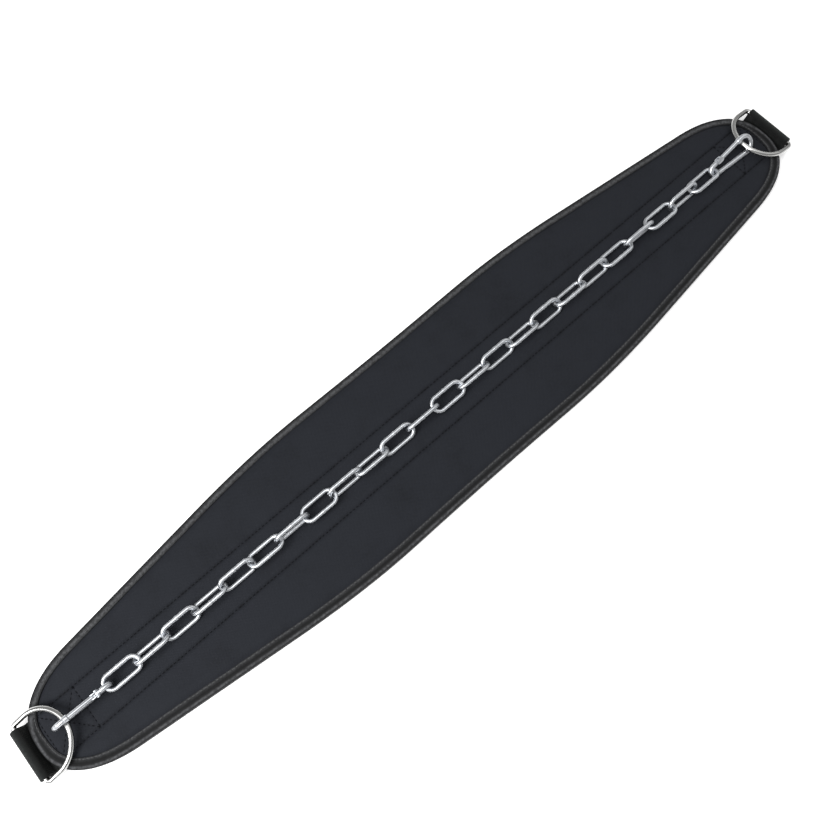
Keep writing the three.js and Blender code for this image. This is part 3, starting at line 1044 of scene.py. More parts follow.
@dataclass
class EdgeTape:
    """The tape folded over the pad's edge, with its inner edges sewn down."""

    outline: Outline
    finish: ClothFinish
    stations: int = 1480
    height: float = 10.5
    stitch_inset: float = 8.8
    stitch_inset_far: float = 5.7
    stitch_pitch: float = 4.0
    dimple: Hump = Hump(0.22, 0.9)
    face_from: float = 8.6
    rim_bottom: float = 2.0
    groove_inset: float = 5.2
    groove_shade: Hump = Hump(0.5, 1.3)
    fold_inset: float = 2.2
    fold_spread: float = 1.0
    fold_inset_far: float = 5.2
    fold_spread_far: float = 1.9
    sewn_highlight: Hump = Hump(0.5, 1.4)
    wander: float = 0.22
    wanders: Clouds = Clouds(45, 45, 3.1)
    wanders_past: float = 5.0
    flutter: float = 0.16
    flutters: Clouds = Clouds(13, 13, 6.4)
    flutters_from: float = 1.2
    flutters_to: float = 7.5
    flutter_most: float = 0.1
    lowest: float = 0.02
    smooth_angle: float = math.radians(60)

    # Inset from the outline and height, from the tape's inner edge on the face, out round the
    # fold to its edge on the back, and home along its inner side
    SECTION = (
        (10.0, 9.5), (10.0, 10.2), (9.6, 10.48), (8.8, 10.5), (8.1, 10.5), (7.3, 10.5),
        (5.6, 10.5), (3.9, 10.5), (2.6, 10.5), (1.7, 10.45), (0.9, 10.1), (0.35, 9.4),
        (0.12, 8.4), (0.3, 7.0), (0.28, 5.2), (0.02, 3.4), (0.1, 2.0), (0.6, 0.8),
        (1.7, 0.15), (3.6, 0.02), (5.8, 0.02), (8.1, 0.02), (9.6, 0.03), (10.0, 0.3),
        (10.0, 1.0), (8.1, 1.2), (1.9, 1.4), (1.45, 3.0), (1.45, 7.5), (1.9, 9.1),
        (8.1, 9.3), (10.0, 9.5),
    )

    def stitch_at(self, y: np.ndarray) -> np.ndarray:
        """How far in from the outline the stitches lie at places across the belt."""
        nearer = self.stitch_inset - self.stitch_inset_far
        return self.stitch_inset - nearer * self.outline.far_share(y)

    def highlight_share(self, inset: np.ndarray, y: np.ndarray) -> np.ndarray:
        """Painted highlight on the tape's face: most along its fold, somewhat along its stitches.

        Args:
            inset: Distances from the belt's outline.
            y: Places across the belt.

        Returns:
            The shares.
        """
        far = self.outline.far_share(y)
        centre = self.fold_inset + (self.fold_inset_far - self.fold_inset) * far
        spread = self.fold_spread + (self.fold_spread_far - self.fold_spread) * far
        fold = Hump(1.0, spread).at(inset - centre)
        sewn = self.sewn_highlight.at(inset - self.stitch_at(y))
        return np.clip(fold + sewn * (1 - far), 0, 1)

    def build(self) -> bpy.types.Object:
        """Makes the tape.

        Returns:
            The finished object.
        """
        points, inward, run = self.outline.loop(self.stations)
        grid = NumberedGrid("binding_tape", self.stations, len(self.SECTION) - 1)
        section = np.array(self.SECTION)
        inset, z = section[grid.row].T
        face = z > self.face_from
        points = np.concatenate([points, points[:1]])
        inward = np.concatenate([inward, inward[:1]])
        run = np.concatenate([run, [0.0]])
        narrowing = self.outline.tape_cover(points[:, 1]) / self.outline.tape_cover_near
        tug = 0.5 + 0.5 * np.cos(run / self.stitch_pitch * 2 * math.pi)
        wander = self.wanders.at(*points.T)[grid.column]
        flutter = self.flutters.at(*points.T)[grid.column]
        lift = self.outline.lift(*points.T)[grid.column]
        at = inset + self.wander * wander * (inset > self.wanders_past)
        at = np.where(face, at * narrowing[grid.column], at)
        pulled = self.dimple.at(at - self.stitch_at(points[:, 1])[grid.column])
        pulled *= 1 + tug[grid.column]
        soft = self.flutter * flutter * (at < self.flutters_to) * (at > self.flutters_from)
        share = np.clip((z - self.rim_bottom) / (self.face_from - self.rim_bottom), 0, 1)
        raised = z + lift * (1 - share)
        raised = np.where(face, raised - pulled + np.minimum(soft, self.flutter_most), raised)
        plan = points[grid.column] + inward[grid.column] * at[:, None]
        piece = grid.lay(*plan.T, np.maximum(raised, self.lowest))
        y = vertex_places(piece)[:, 1]
        cover = self.outline.tape_cover(y) / self.outline.tape_cover_near
        inset = inset * np.where(face, cover, 1)
        # Painted highlight along the tape's fold and stitches, on its face only
        paint(piece, "painted_highlight", self.highlight_share(inset, y) * face)
        # Painted shade along a groove in the tape's face, fading out towards the far edge
        shade = self.groove_shade.at(inset - self.groove_inset) * face
        paint(piece, "painted_shade", shade * (1 - self.outline.far_share(y)))
        close_shell(piece)
        smooth_shade(piece, self.smooth_angle)
        return dress(piece, self.finish.make(), "edge_binding")


@dataclass
class Strap:
    """The webbing on the back, turned round both bars and sewn to itself."""

    finish: ClothFinish
    width: float = 50.0
    thickness: float = 2.0
    gap: float = 0.3
    bar_x: float = 460.0
    bar_z: float = 9.4896
    bar_radius: float = 2.5
    belt_end_x: float = 452.5
    return_length: float = 74.5
    across_steps: int = 12
    turn_points: int = 40
    return_points: int = 30
    under_points: int = 120
    selvedge_inset: float = 1.2
    selvedge_radius: float = 1.0
    selvedge_points: int = 5
    edge_thinning: float = 0.06
    round_thinning: float = 0.02
    lowest: float = 0.02
    highlight_from: float = 8.0
    highlight_to: float = 13.0
    highlight_run: float = 1.5
    shade_inset: float = 5.5
    shade: Hump = Hump(1.0, 3.0)
    shade_above: float = 3.0

    def route(self) -> np.ndarray:
        """The strap's middle line in the XZ plane.

        Returns:
            Its points, from one sewn end round to the other.
        """
        t = self.thickness
        bar = np.array([self.bar_x, self.bar_z])
        radius = self.bar_radius + self.gap + t / 2
        edge = self.belt_end_x + self.gap
        returned = np.array([edge + t / 3, t + self.gap + t / 2])
        below = np.array([edge + t / 2 + self.gap, t / 2])
        leave = self.tangent(returned, bar, radius, 1)
        arrive = self.tangent(below, bar, radius, -1)
        turn = np.linspace(leave, arrive, self.turn_points)
        round_bar = bar + radius * np.stack([np.cos(turn), np.sin(turn)], 1)
        start = np.array([self.bar_x - self.return_length, returned[1]])
        back = np.linspace(start, returned, self.return_points)
        under = np.linspace(below, [0, t / 2], self.under_points)
        right = np.concatenate([back, round_bar, under])
        left = (right[:-1] * [-1, 1])[::-1]
        return np.concatenate([right, left])

    @staticmethod
    def tangent(start: np.ndarray, centre: np.ndarray, radius: float, side: int) -> float:
        """Where a line from a point touches a circle.

        Args:
            start: The point.
            centre: The circle's centre.
            radius: Its radius.
            side: 1 or -1, for which of the two tangents.

        Returns:
            The angle on the circle, in radians.
        """
        to_centre = centre - start
        heading = math.atan2(to_centre[1], to_centre[0]) % (2 * math.pi)
        return heading + side * (math.asin(radius / math.hypot(*to_centre)) + math.pi / 2)

    def section(self) -> np.ndarray:
        """The strap's cross-section, with rounded selvedges.

        Returns:
            Its points, across and through, which end where they start.
        """
        half, t = self.width / 2, self.thickness / 2
        across_end = half - self.selvedge_inset
        across = np.linspace(-across_end, across_end, self.across_steps)
        top = np.stack([across, np.full(len(across), t - self.edge_thinning)], 1)
        turn = np.linspace(math.pi / 2, -math.pi / 2, self.selvedge_points + 2)[1:-1]
        out = half - self.selvedge_radius + np.cos(turn) * self.selvedge_radius
        right = np.stack([out, (t - self.round_thinning) * np.sin(turn)], 1)
        bottom = (top * [1, -1])[::-1]
        left = (right * [-1, 1])[::-1]
        return np.concatenate([top, right, bottom, left, top[:1]])

    def build(self) -> bpy.types.Object:
        """Makes the strap.

        Returns:
            The finished object.
        """
        route, section = self.route(), self.section()
        step = np.gradient(route, axis=0)
        step /= np.linalg.norm(step, axis=1)[:, None]
        normal = np.stack([-step[:, 1], step[:, 0]], 1)
        grid = NumberedGrid("strap_webbing", len(route) - 1, len(section) - 1)
        across, through = section[grid.row].T
        x, z = (route[grid.column] + normal[grid.column] * through[:, None]).T
        piece = grid.lay(x, across, np.maximum(z, self.lowest))
        spots = vertex_places(piece)
        past_bar = np.abs(spots[:, 0]) - self.bar_x
        # Painted highlight over the top of the strap's turn, on the outer side of the bar
        top = smooth_step(self.highlight_from, self.highlight_to, spots[:, 2])
        paint(piece, "painted_highlight", top * smooth_step(-self.highlight_run, self.highlight_run, past_bar))
        # Painted shade on the strap where it climbs from under the belt's end towards the bar
        shade = self.shade.at(past_bar + self.shade_inset)
        paint(piece, "painted_shade", shade * (spots[:, 2] > self.shade_above))
        with all_selected(piece):
            bpy.ops.mesh.remove_doubles(threshold=MERGE_DISTANCE)
            fill_openings()
        close_shell(piece)
        smooth_shade(piece)
        return dress(piece, self.finish.make(), "webbing_strap")


@dataclass
class Stitching:
    """Rows of stitches: along the tape on both sides, and along the pad's seams and boxes."""

    pad: PadCover
    tape: EdgeTape
    light: ThreadFinish
    dark: ThreadFinish
    length: float = 3.2
    radius: float = 0.48
    droop: float = 0.3
    unevenness: float = 0.07
    above_tape: float = 0.08
    above_back: float = 0.36
    above_face: float = 0.02
    segments: int = 8
    rings: int = 6
    smooth_angle: float = math.radians(80)
    perimeter_stations: int = 2000

    def one_stitch(self) -> tuple[np.ndarray, list[list[int]]]:
        """One stitch along X, with its ends drawn down.

        Returns:
            Its vertices in millimetres and its faces.
        """
        deselect_all()
        bpy.ops.mesh.primitive_uv_sphere_add(
            segments=self.segments, ring_count=self.rings, radius=1
        )
        model = bpy.context.object
        bpy.ops.transform.rotate(value=math.pi / 2, orient_axis="Y", center_override=(0, 0, 0))
        apply_place(model)
        points = np.array([v.co[:] for v in model.data.vertices])
        points *= [self.length / 2, self.radius, self.radius]
        points[:, 2] -= self.droop * (np.abs(points[:, 0]) / (self.length / 2)) ** 3
        faces = [list(p.vertices) for p in model.data.polygons]
        bpy.data.objects.remove(model)
        return points, faces

    def sew(
        self,
        name: str,
        places: Sequence[tuple[float, float, float, float]],
        finish: ThreadFinish,
    ) -> bpy.types.Object:
        """Makes one object of many stitches.

        Args:
            name: The object's name.
            places: X, Y, Z and heading of each stitch.
            finish: The thread.

        Returns:
            The finished object.
        """
        points, faces = self.one_stitch()
        placed = []
        all_faces = []
        chance = np.random.default_rng(len(places))
        for number, (x, y, z, heading) in enumerate(places):
            heading += chance.normal(0, self.unevenness)
            c, s = math.cos(heading), math.sin(heading)
            turn = np.array([[c, s, 0], [-s, c, 0], [0, 0, 1]])
            longer = 1 + chance.normal(0, self.unevenness)
            placed.append(points * [longer, 1, 1] @ turn + [x, y, z])
            offset = number * len(points)
            all_faces += [[k + offset for k in face] for face in faces]
        mesh = bpy.data.meshes.new(name)
        mesh.from_pydata(np.concatenate(placed) * MM, [], all_faces)
        mesh.materials.append(finish.make())
        piece = added(name, mesh)
        smooth_shade(piece, self.smooth_angle)
        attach(piece, "belt")
        return piece

    def tape_rows(self) -> list[tuple[float, float, float, float]]:
        """The stitches along the tape, on its face and its back.

        Returns:
            X, Y, Z and heading of each stitch.
        """
        count = int(self.perimeter() / self.tape.stitch_pitch)
        points, inward, _ = self.tape.outline.loop(count)
        heading = np.arctan2(inward[:, 0], -inward[:, 1])
        face = points + inward * self.tape.stitch_at(points[:, 1])[:, None]
        back = points + inward * self.tape.stitch_inset
        lift = self.tape.outline.lift(back[:, 0], back[:, 1])
        top = self.tape.height - self.tape.dimple.height + self.above_tape
        rows = [(x, y, top, turn) for (x, y), turn in zip(face, heading, strict=True)]
        for (x, y), turn, up in zip(back, heading, lift, strict=True):
            rows.append((x, y, self.above_back + up, turn))
        return rows

    def perimeter(self) -> float:
        """The length of the belt's outline.

        Returns:
            The length, in millimetres.
        """
        points, _, _ = self.tape.outline.loop(self.perimeter_stations)
        ring = np.concatenate([points, points[:1]])
        return float(np.linalg.norm(np.diff(ring, axis=0), axis=1).sum())

    def seam_rows(self) -> list[tuple[float, float, float, float]]:
        """The stitches along the seams and the crossed boxes on the face.

        Returns:
            X, Y, Z and heading of each stitch.
        """
        pad = self.pad
        lines = list(pad.stitch_lines())
        for y in (-pad.seam_y, pad.seam_y):
            lines.append(((-pad.box_end, y), (pad.box_end, y)))
        x_all, y_all, headings = [], [], []
        for (ax, ay), (bx, by) in lines:
            length = math.hypot(bx - ax, by - ay)
            count = max(int(length / self.tape.stitch_pitch), 2)
            share = (np.arange(count) + 0.5) / count
            x_all.append(ax + (bx - ax) * share)
            y_all.append(ay + (by - ay) * share)
            headings.append(np.full(count, math.atan2(by - ay, bx - ax)))
        x, y = np.concatenate(x_all), np.concatenate(y_all)
        z = pad.face_height(x, y) + self.above_face
        return list(zip(x, y, z, np.concatenate(headings), strict=True))

    def build(self) -> list[bpy.types.Object]:
        """Makes both sets of stitches.

        Returns:
            The finished objects.
        """
        return [
            self.sew("tape_stitches", self.tape_rows(), self.light),
            self.sew("seam_stitches", self.seam_rows(), self.dark),
        ]


class WireBender:
    """Bends a round wire in the XY plane, as on a jig."""

    SIDES = 16
    JOINING_DISTANCE = 2e-5
    END_ROUNDING = 0.45

    def __init__(self, name: str, radius: float, start: Sequence[float], heading: float) -> None:
        """Starts a wire.

        Args:
            name: The object's name.
            radius: The wire's radius.
            start: X and Y of its first end.
            heading: The way it sets out, in degrees from X.
        """
        self.at = Vector((start[0], start[1], 0))
        self.heading = math.radians(heading)
        deselect_all()
        bpy.ops.mesh.primitive_circle_add(
            vertices=self.SIDES,
            radius=radius * MM,
            location=self.at * MM,
            rotation=(0, math.pi / 2, self.heading),
        )
        self.piece = named(bpy.context.object, name)
        bpy.ops.object.transform_apply(location=True, rotation=True, scale=True)
        bpy.ops.object.mode_set(mode="EDIT")
        bpy.ops.mesh.select_all(action="SELECT")

    def way(self) -> Vector:
        """The direction in which the wire's end points."""
        return Vector((math.cos(self.heading), math.sin(self.heading), 0))

    def straight(self, length: float) -> WireBender:
        """Adds a straight stretch.

        Args:
            length: Its length.

        Returns:
            The bender itself.
        """
        move = self.way() * length
        bpy.ops.mesh.extrude_edges_move(TRANSFORM_OT_translate={"value": tuple(move * MM)})
        self.at += move
        return self

    def bend(self, radius: float, angle: float, steps: int) -> WireBender:
        """Adds a bend.

        Args:
            radius: The radius of the wire's middle line.
            angle: How far it turns, in degrees, to the left if positive.
            steps: How many rings it takes.

        Returns:
            The bender itself.
        """
        side = math.copysign(1, angle)
        way = self.way()
        centre = self.at + Vector((-way.y, way.x, 0)) * radius * side
        turn = math.radians(angle)
        bpy.ops.mesh.spin(steps=steps, angle=-turn, center=centre * MM, axis=(0, 0, 1))
        self.at = centre + Matrix.Rotation(turn, 3, "Z") @ (self.at - centre)
        self.heading += turn
        return self

    def swell(self, share: float) -> WireBender:
        """Makes the wire's end thicker or thinner by a share."""
        bpy.ops.transform.resize(value=(share,) * 3, center_override=self.at * MM)
        return self

    def finish(self, capped: bool) -> bpy.types.Object:
        """Closes the wire.

        Args:
            capped: Whether its ends are closed off; otherwise they meet and are merged.

        Returns:
            The object.
        """
        if capped:
            fill_openings()
        bpy.ops.object.mode_set(mode="OBJECT")
        close_shell(self.piece, self.JOINING_DISTANCE)
        if capped:
            bevel_edges(self.piece, self.END_ROUNDING)
        return self.piece


def bevel_edges(piece: bpy.types.Object, width: float, segments: int = 3) -> None:
    """Rounds an object's sharp edges.

    Args:
        piece: The object.
        width: The rounding's width.
        segments: How many faces it has.
    """
    pick(piece)
    modifier = piece.modifiers.new("edges", "BEVEL")
    modifier.width = width * MM
    modifier.segments = segments
    modifier.limit_method = "ANGLE"
    modifier.angle_limit = BEVEL_FROM
    bpy.ops.object.modifier_apply(modifier=modifier.name)


def disc(name: str, radius: float, height: float, centre: Sequence[float]) -> bpy.types.Object:
    """A short round pin or plate along Z, with rounded edges.

    Args:
        name: The object's name.
        radius: Its radius.
        height: Its height.
        centre: Its centre.

    Returns:
        The object.
    """
    deselect_all()
    place = Vector(centre) * MM
    bpy.ops.mesh.primitive_cylinder_add(
        vertices=PIN_SIDES, radius=radius * MM, depth=height * MM, location=place
    )
    piece = named(bpy.context.object, name)
    apply_place(piece)
    bevel_edges(piece, min(PIN_ROUNDING, height / 4), 2)
    return piece


def stretch_half(piece: bpy.types.Object, centre_x: float, length: float) -> None:
    """Moves the half of a mesh past a centre along X, which draws a disc out to a plate.

    Args:
        piece: The object.
        centre_x: Where the half starts.
        length: How far it is moved.
    """
    for vertex in piece.data.vertices:
        if vertex.co.x > centre_x * MM:
            vertex.co.x += length * MM


@dataclass
class DRing:
    """A D-ring of round wire, its bar held in the strap's turn."""

    side: Side
    finish: MetalFinish
    wire: float = 5.0
    inside_width: float = 53.0
    depth: float = 42.5
    corner: float = 3.7
    bar_x: float = 460.0
    bar_z: float = 9.4896
    pitch: float = 13.7621
    start_y: float = -2.0
    corner_steps: int = 6
    bow_steps: int = 48
    weld_swell: float = 1.07
    weld_slope: float = 0.6
    weld_half: float = 1.4

    def build(self) -> bpy.types.Object:
        """Makes the ring.

        Returns:
            The finished object.
        """
        half = self.inside_width / 2 + self.wire / 2
        leg = self.depth - half - self.corner
        bar = half - self.corner
        before_weld = bar + self.start_y
        name = f"ring_wire_{self.side.word}"
        bender = WireBender(name, self.wire / 2, (0, self.start_y), -90)
        bender.straight(before_weld).bend(self.corner, 90, self.corner_steps).straight(leg)
        bender.bend(half, 180, self.bow_steps)
        bender.straight(leg).bend(self.corner, 90, self.corner_steps).straight(before_weld)
        bender.straight(self.weld_half).swell(self.weld_swell).straight(self.weld_slope)
        bender.straight(self.weld_half).straight(self.weld_slope).swell(1 / self.weld_swell)
        piece = bender.finish(capped=False)
        turned = math.pi if self.side is Side.RIGHT else 0.0
        place = Matrix.Translation(Vector((self.side.value * self.bar_x, 0, self.bar_z)) * MM)
        place = place @ Matrix.Rotation(turned, 4, "Z")
        place = place @ Matrix.Rotation(math.radians(-self.pitch), 4, "Y")
        piece.data.transform(place)
        smooth_shade(piece)
        return dress(piece, self.finish.make(), f"d_ring_{self.side.word}")


@dataclass
class SnapHook:
    """A bent-wire snap hook: its body and the sprung gate on its pin."""

    side: Side
    finish: MetalFinish
    centre: tuple[float, float, float]
    roll: float
    pitch: float
    length: float = 60.0
    wire: float = 5.0
    wide_width: float = 21.5
    narrow_width: float = 14.8
    nose: float = 2.6
    gate_wire: float = 4.4
    collar: float = 6.3
    collar_length: float = 3.6
    hinge_from_narrow: float = 7.0
    gap: float = 0.3
    knuckle: float = 5.2
    tongue: float = 2.0
    cheek: float = 1.1
    pin: float = 2.0
    pin_head: float = 3.4
    head_height: float = 0.7
    shoulder: float = 0.6
    shoulder_share: float = 0.7
    nose_share: float = 0.86
    nose_taper: float = 0.5
    collar_step: float = 0.4
    collar_taper: float = 0.5
    collar_end_share: float = 0.85
    tongue_share: float = 0.75
    tongue_length: float = 3.4
    cheek_length: float = 3.6
    wide_steps: int = 32
    narrow_steps: int = 24

    def __post_init__(self) -> None:
        """Works out the hook's centres and the slope of its gate."""
        self.wide = (self.wide_width - self.wire) / 2
        self.narrow = (self.narrow_width - self.wire) / 2
        self.wide_x = self.length / 2 - self.wire / 2 - self.wide
        self.narrow_x = -self.length / 2 + self.wire / 2 + self.narrow
        self.span = self.wide_x - self.narrow_x
        self.slope = math.degrees(math.atan2(self.wide - self.narrow, self.span))
        tilt = math.tan(math.radians(self.slope))
        self.hinge_x = self.narrow_x + self.hinge_from_narrow
        self.hinge_y = self.narrow + self.hinge_from_narrow * tilt
        run = self.wide_x - self.nose - self.hinge_x
        self.gate_length = run / math.cos(math.radians(self.slope)) - self.gap

    def placing(self) -> Matrix:
        """The hook's place on the belt.

        Returns:
            Its matrix.
        """
        turned = math.pi if self.side is Side.LEFT else 0.0
        place = Matrix.Translation(Vector(self.centre) * MM) @ Matrix.Rotation(turned, 4, "Z")
        place = place @ Matrix.Rotation(math.radians(self.pitch), 4, "Y")
        return place @ Matrix.Rotation(math.radians(self.roll), 4, "X")

    def body(self) -> bpy.types.Object:
        """Makes the bent body with its pin.

        Returns:
            The finished object.
        """
        lean = math.radians(self.slope)
        start = (
            self.wide_x - self.wide * math.sin(lean) - self.nose * math.cos(lean),
            self.wide * math.cos(lean) - self.nose * math.sin(lean),
        )
        name = f"hook_wire_{self.side.word}"
        bender = WireBender(name, self.wire / 2 * self.nose_share, start, self.slope)
        bender.straight(self.nose_taper).swell(1 / self.nose_share)
        bender.straight(self.nose - self.nose_taper)
        bender.bend(self.wide, -180 - 2 * self.slope, self.wide_steps)
        bender.straight(self.span * math.cos(lean))
        bender.bend(self.narrow, -180 + 2 * self.slope, self.narrow_steps)
        reach = self.hinge_from_narrow / math.cos(lean) + self.narrow * math.sin(lean)
        bender.straight(reach - self.knuckle / 2 - self.gap - self.shoulder)
        bender.straight(self.shoulder).swell(self.shoulder_share)
        wire = bender.finish(capped=True)
        tongue_radius = self.knuckle / 2 * self.tongue_share
        tongue = disc("tongue", tongue_radius, self.tongue, (-self.tongue_length, 0, 0))
        stretch_half(tongue, -self.tongue_length, self.tongue_length)
        half = self.tongue / 2 + self.gap + self.cheek + self.gap
        pinned = [tongue, disc("pin", self.pin / 2, 2 * half + self.head_height, (0, 0, 0))]
        for way, word in ((1, "up"), (-1, "down")):
            centre = (0, 0, way * (half + self.head_height / 2))
            pinned.append(disc(f"head_{word}", self.pin_head / 2, self.head_height, centre))
        for part in pinned:
            part.data.transform(self.hinge())
        piece = join_all([wire, *pinned], name)
        return self.put_in_place(piece, f"hook_body_{self.side.word}", "belt")

    def gate(self) -> bpy.types.Object:
        """Makes the gate with its cheeks, pin hole end and collar.

        Returns:
            The finished object.
        """
        name = f"gate_wire_{self.side.word}"
        rod_start = self.knuckle / 2 + 1
        bender = WireBender(name, self.gate_wire / 2, (rod_start, 0), 0)
        rod = self.gate_length - rod_start - self.collar_length
        bender.straight(rod - self.collar_step).straight(self.collar_step)
        bender.swell(self.collar / self.gate_wire)
        bender.straight(self.collar_length - self.collar_taper).straight(self.collar_taper)
        parts = [bender.swell(self.collar_end_share).finish(capped=True)]
        for way in (-1, 1):
            z = way * (self.tongue / 2 + self.gap + self.cheek / 2)
            parts.append(disc("cheek", self.knuckle / 2, self.cheek, (0, 0, z)))
            stretch_half(parts[-1], 0.0, self.cheek_length)
        piece = join_all(parts, name)
        piece.data.transform(self.hinge())
        return self.put_in_place(
            piece, f"hook_gate_{self.side.word}", f"gate_{self.side.word}"
        )

    def hinge(self) -> Matrix:
        """The place of the gate's pin in the hook's own plane."""
        place = Matrix.Translation(Vector((self.hinge_x, self.hinge_y, 0)) * MM)
        return place @ Matrix.Rotation(math.radians(self.slope), 4, "Z")

    def put_in_place(self, piece: bpy.types.Object, node: str, body: str) -> bpy.types.Object:
        """Puts a piece of the hook in its place and finishes it.

        Args:
            piece: The object, in the hook's own plane.
            node: The node that it stands for.
            body: The body that it moves with.

        Returns:
            The object.
        """
        piece.data.transform(self.placing())
        smooth_shade(piece)
        return dress(piece, self.finish.make(), node, body)

    def build(self) -> list[bpy.types.Object]:
        """Makes the hook's two pieces."""
        return [self.body(), self.gate()]


@dataclass
class Chain:
    """The chain's welded links, laid from hook to hook."""

    finish: MetalFinish
    rolls: Sequence[float]
    wire: float = 4.0
    inside_length: float = 32.0
    width: float = 18.0
    weld: float = 1.1
    weld_top: float = 1.04
    weld_start: float = 2.2
    weld_foot: float = 1.2
    weld_rise: float = 0.9
    bend_steps: int = 24

    def model(self) -> bpy.types.Object:
        """Makes one link in the XY plane, with its weld on one side.

        Returns:
            The object.
        """
        bend = (self.width - self.wire) / 2
        straight = self.inside_length + self.wire - 2 * bend
        to_weld = straight / 2 - self.weld_start
        bender = WireBender("chain_link_model", self.wire / 2, (self.weld_start, -bend), 0)
        bender.straight(to_weld).bend(bend, 180, self.bend_steps).straight(straight)
        bender.bend(bend, 180, self.bend_steps).straight(to_weld)
        bender.straight(self.weld_foot).swell(self.weld).straight(self.weld_rise)
        bender.swell(self.weld_top).straight(self.weld_rise)
        bender.swell(1 / self.weld_top / self.weld)
        bender.straight(2 * self.weld_start - self.weld_foot - 2 * self.weld_rise)
        return bender.finish(capped=False)

    def build(self) -> list[bpy.types.Object]:
        """Makes every link from the one model.

        Returns:
            The finished objects.
        """
        model = self.model()
        smooth_shade(model)
        material = self.finish.make()
        links = []
        for number, roll in enumerate(self.rolls, start=1):
            node = f"chain_link_{number:02d}"
            low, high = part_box(node)
            link = added(f"link_wire_{number:02d}", model.data.copy())
            link.data.name = link.name
            turn = Matrix.Rotation(math.radians(roll), 4, "X")
            weld_side = Matrix.Rotation(math.pi * (number % 2), 4, "Z")
            link.data.transform(Matrix.Translation((low + high) / 2) @ turn @ weld_side)
            links.append(dress(link, material, node))
        bpy.data.objects.remove(model)
        return links


@dataclass(frozen=True)
class Softbox:
    """A soft rectangular light that faces the belt's middle: its sizes in metres, power in watts."""

    name: str
    place: tuple[float, float, float]
    size: tuple[float, float]
    power: float

    def hang(self) -> None:
        """Hangs the light in its place."""
        data = bpy.data.lights.new(self.name, "AREA")
        data.shape = "RECTANGLE"
        data.size, data.size_y = self.size
        data.energy = self.power
        light = added(self.name, data)
        light.location = self.place
        light.rotation_euler = (-Vector(self.place)).to_track_quat("-Z", "Y").to_euler()


@dataclass
class Studio:
    """The pale floor, the soft lights and the camera at the photograph's angle."""

    distance: float = 800.0
    yaw: float = 32.79
    elevation: float = 72.07
    roll: float = -8.6
    target: tuple[float, float] = (-15.8, 22.9)
    focal_pixels: float = 836.0
    frame_pixels: float = 814.0
    sensor: float = 36.0
    clip: tuple[float, float] = (0.01, 20.0)
    floor_size: float = 40.0
    floor_z: float = -0.0004
    floor_tone: float = 0.94
    floor_roughness: float = 0.9
    floor_specular: float = 0.1
    floor_glow: float = 0.35
    world_light: float = 0.4
    softboxes: tuple[Softbox, ...] = (
        Softbox("left_side", (-1.15, 0.0, 1.5), (1.2, 2.0), 15.0),
        Softbox("right_side", (1.2, 0.0, 1.5), (1.3, 2.0), 5.5),
        Softbox("overhead", (-0.35, 0.0, 1.9), (1.1, 2.0), 12.5),
        Softbox("key", (-1.2, -0.05, 0.95), (0.6, 0.6), 12.0),
    )

    def camera(self) -> None:
        """Makes the camera and makes it the scene's."""
        yaw, lift, roll = (math.radians(v) for v in (self.yaw, self.elevation, self.roll))
        ahead = Vector(
            (math.sin(yaw) * math.cos(lift), math.cos(yaw) * math.cos(lift), -math.sin(lift))
        )
        level = Vector((math.cos(yaw), -math.sin(yaw), 0))
        above = level.cross(ahead)
        right = math.cos(roll) * level + math.sin(roll) * above
        up = -math.sin(roll) * level + math.cos(roll) * above
        data = bpy.data.cameras.new("photo_camera")
        data.sensor_width = self.sensor
        data.lens = self.focal_pixels / self.frame_pixels * self.sensor
        data.clip_start, data.clip_end = self.clip
        camera = added("photo_camera", data)
        turn = Matrix((right, up, -ahead)).transposed().to_4x4()
        place = Vector((*self.target, 0)) * MM - ahead * self.distance * MM
        camera.matrix_world = Matrix.Translation(place) @ turn
        bpy.context.scene.camera = camera

    def floor(self) -> None:
        """Makes the floor."""
        deselect_all()
        bpy.ops.mesh.primitive_plane_add(size=self.floor_size, location=(0, 0, self.floor_z))
        plane = bpy.context.object
        plane.name = "studio_floor"
        recipe = Recipe("pale_floor")
        recipe.shade(
            Base_Color=(*[self.floor_tone] * 3, 1),
            Roughness=self.floor_roughness,
            Specular_IOR_Level=self.floor_specular,
            Emission_Color=(1, 1, 1, 1),
            Emission_Strength=self.floor_glow,
        )
        plane.data.materials.append(recipe.material)

    def lights(self) -> None:
        """Lights the scene softly from above and round about."""
        world = bpy.data.worlds.new("studio")
        world.use_nodes = True
        backdrop = world.node_tree.nodes["Background"]
        backdrop.inputs["Color"].default_value = (1, 1, 1, 1)
        backdrop.inputs["Strength"].default_value = self.world_light
        bpy.context.scene.world = world
        for softbox in self.softboxes:
            softbox.hang()
        bpy.context.scene.view_settings.view_transform = "Standard"

    def build(self) -> None:
        """Sets up the studio."""
        self.camera()
        self.floor()
        self.lights()


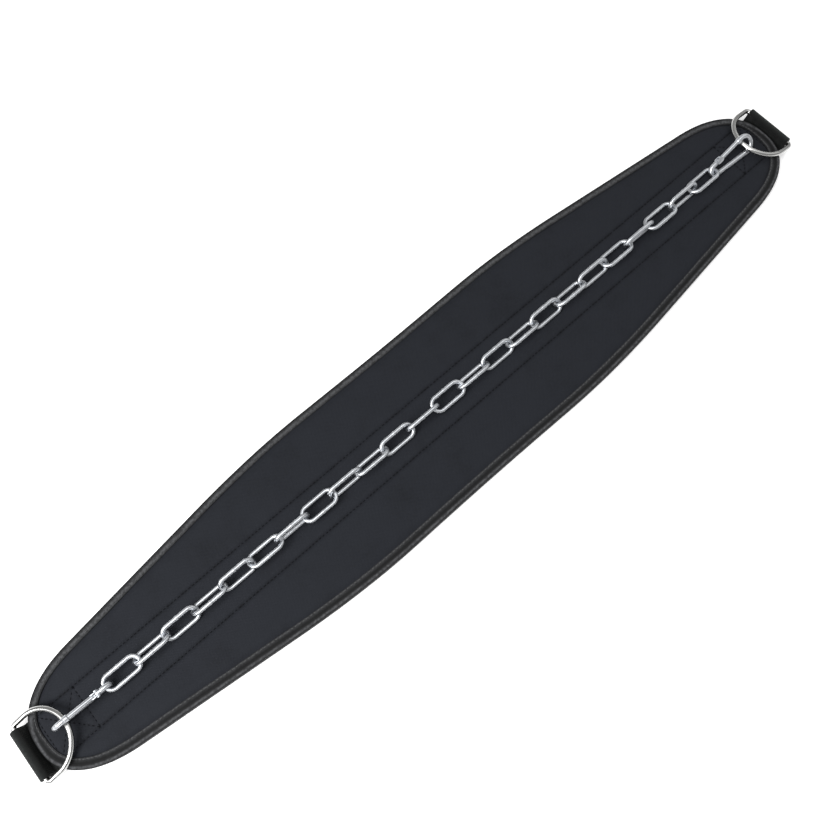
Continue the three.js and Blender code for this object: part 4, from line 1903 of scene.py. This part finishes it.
# How far each link is rolled about the chain's line, in degrees, from left to right
LINK_ROLLS = (
    18, -50, 42, -49, 53, -25, 87, -1, 73, -46, 40, -75,
    18, -53, 46, -44, 42, -44, 55, -21, 95, -13, 73, -23,
)

COVER = ClothFinish(
    "cover_cloth", (0.0106, 0.0120, 0.0158), Weave.PLAIN, thread_pitch=0.9, relief=0.16
)
TAPE = ClothFinish(
    "binding_cloth",
    (0.0094, 0.0096, 0.0101),
    Weave.RIBBED,
    thread_pitch=0.9,
    relief=0.14,
    width=46.0,
    length=1960.0,
    painted_highlight=8.0,
)
WEBBING = ClothFinish(
    "strap_cloth",
    (0.0170, 0.0190, 0.0185),
    Weave.HERRINGBONE,
    thread_pitch=1.6,
    relief=0.3,
    width=104.0,
    length=1900.0,
    roughness=0.65,
    painted_highlight=2.2,
)
LIGHT_THREAD = ThreadFinish("tape_thread", (0.085, 0.086, 0.088))
DARK_THREAD = ThreadFinish("seam_thread", (0.0055, 0.0060, 0.0078))
NICKEL = MetalFinish("ring_nickel", (0.54, 0.54, 0.53), Plating.POLISHED, 0.12, 0.22)
ZINC = MetalFinish("chain_zinc", (0.68, 0.70, 0.73), Plating.BRIGHT_DIP, 0.28, 0.42)

HOOKS = (
    SnapHook(Side.LEFT, ZINC, centre=(-399.53, 0, 20.9072), roll=80.0, pitch=-4.5214),
    SnapHook(Side.RIGHT, ZINC, centre=(399.501, 0, 19.044), roll=45.0, pitch=-3.2448),
)


def main() -> None:
    """Builds the belt round the frame and reports each piece."""
    logging.basicConfig(level=logging.INFO, format="%(message)s")
    outline = Outline()
    Studio().build()
    pad = PadCover(outline, COVER)
    tape = EdgeTape(outline, TAPE)
    made = [pad.build(), tape.build(), Strap(WEBBING).build()]
    made += Stitching(pad, tape, LIGHT_THREAD, DARK_THREAD).build()
    made += [DRing(side, NICKEL).build() for side in Side]
    for hook in HOOKS:
        made += hook.build()
    made += Chain(ZINC, LINK_ROLLS).build()
    for piece in made:
        piece.data.calc_loop_triangles()
        LOG.info("%s: %d triangles", piece.name, len(piece.data.loop_triangles))


if __name__ == "__main__":
    main()
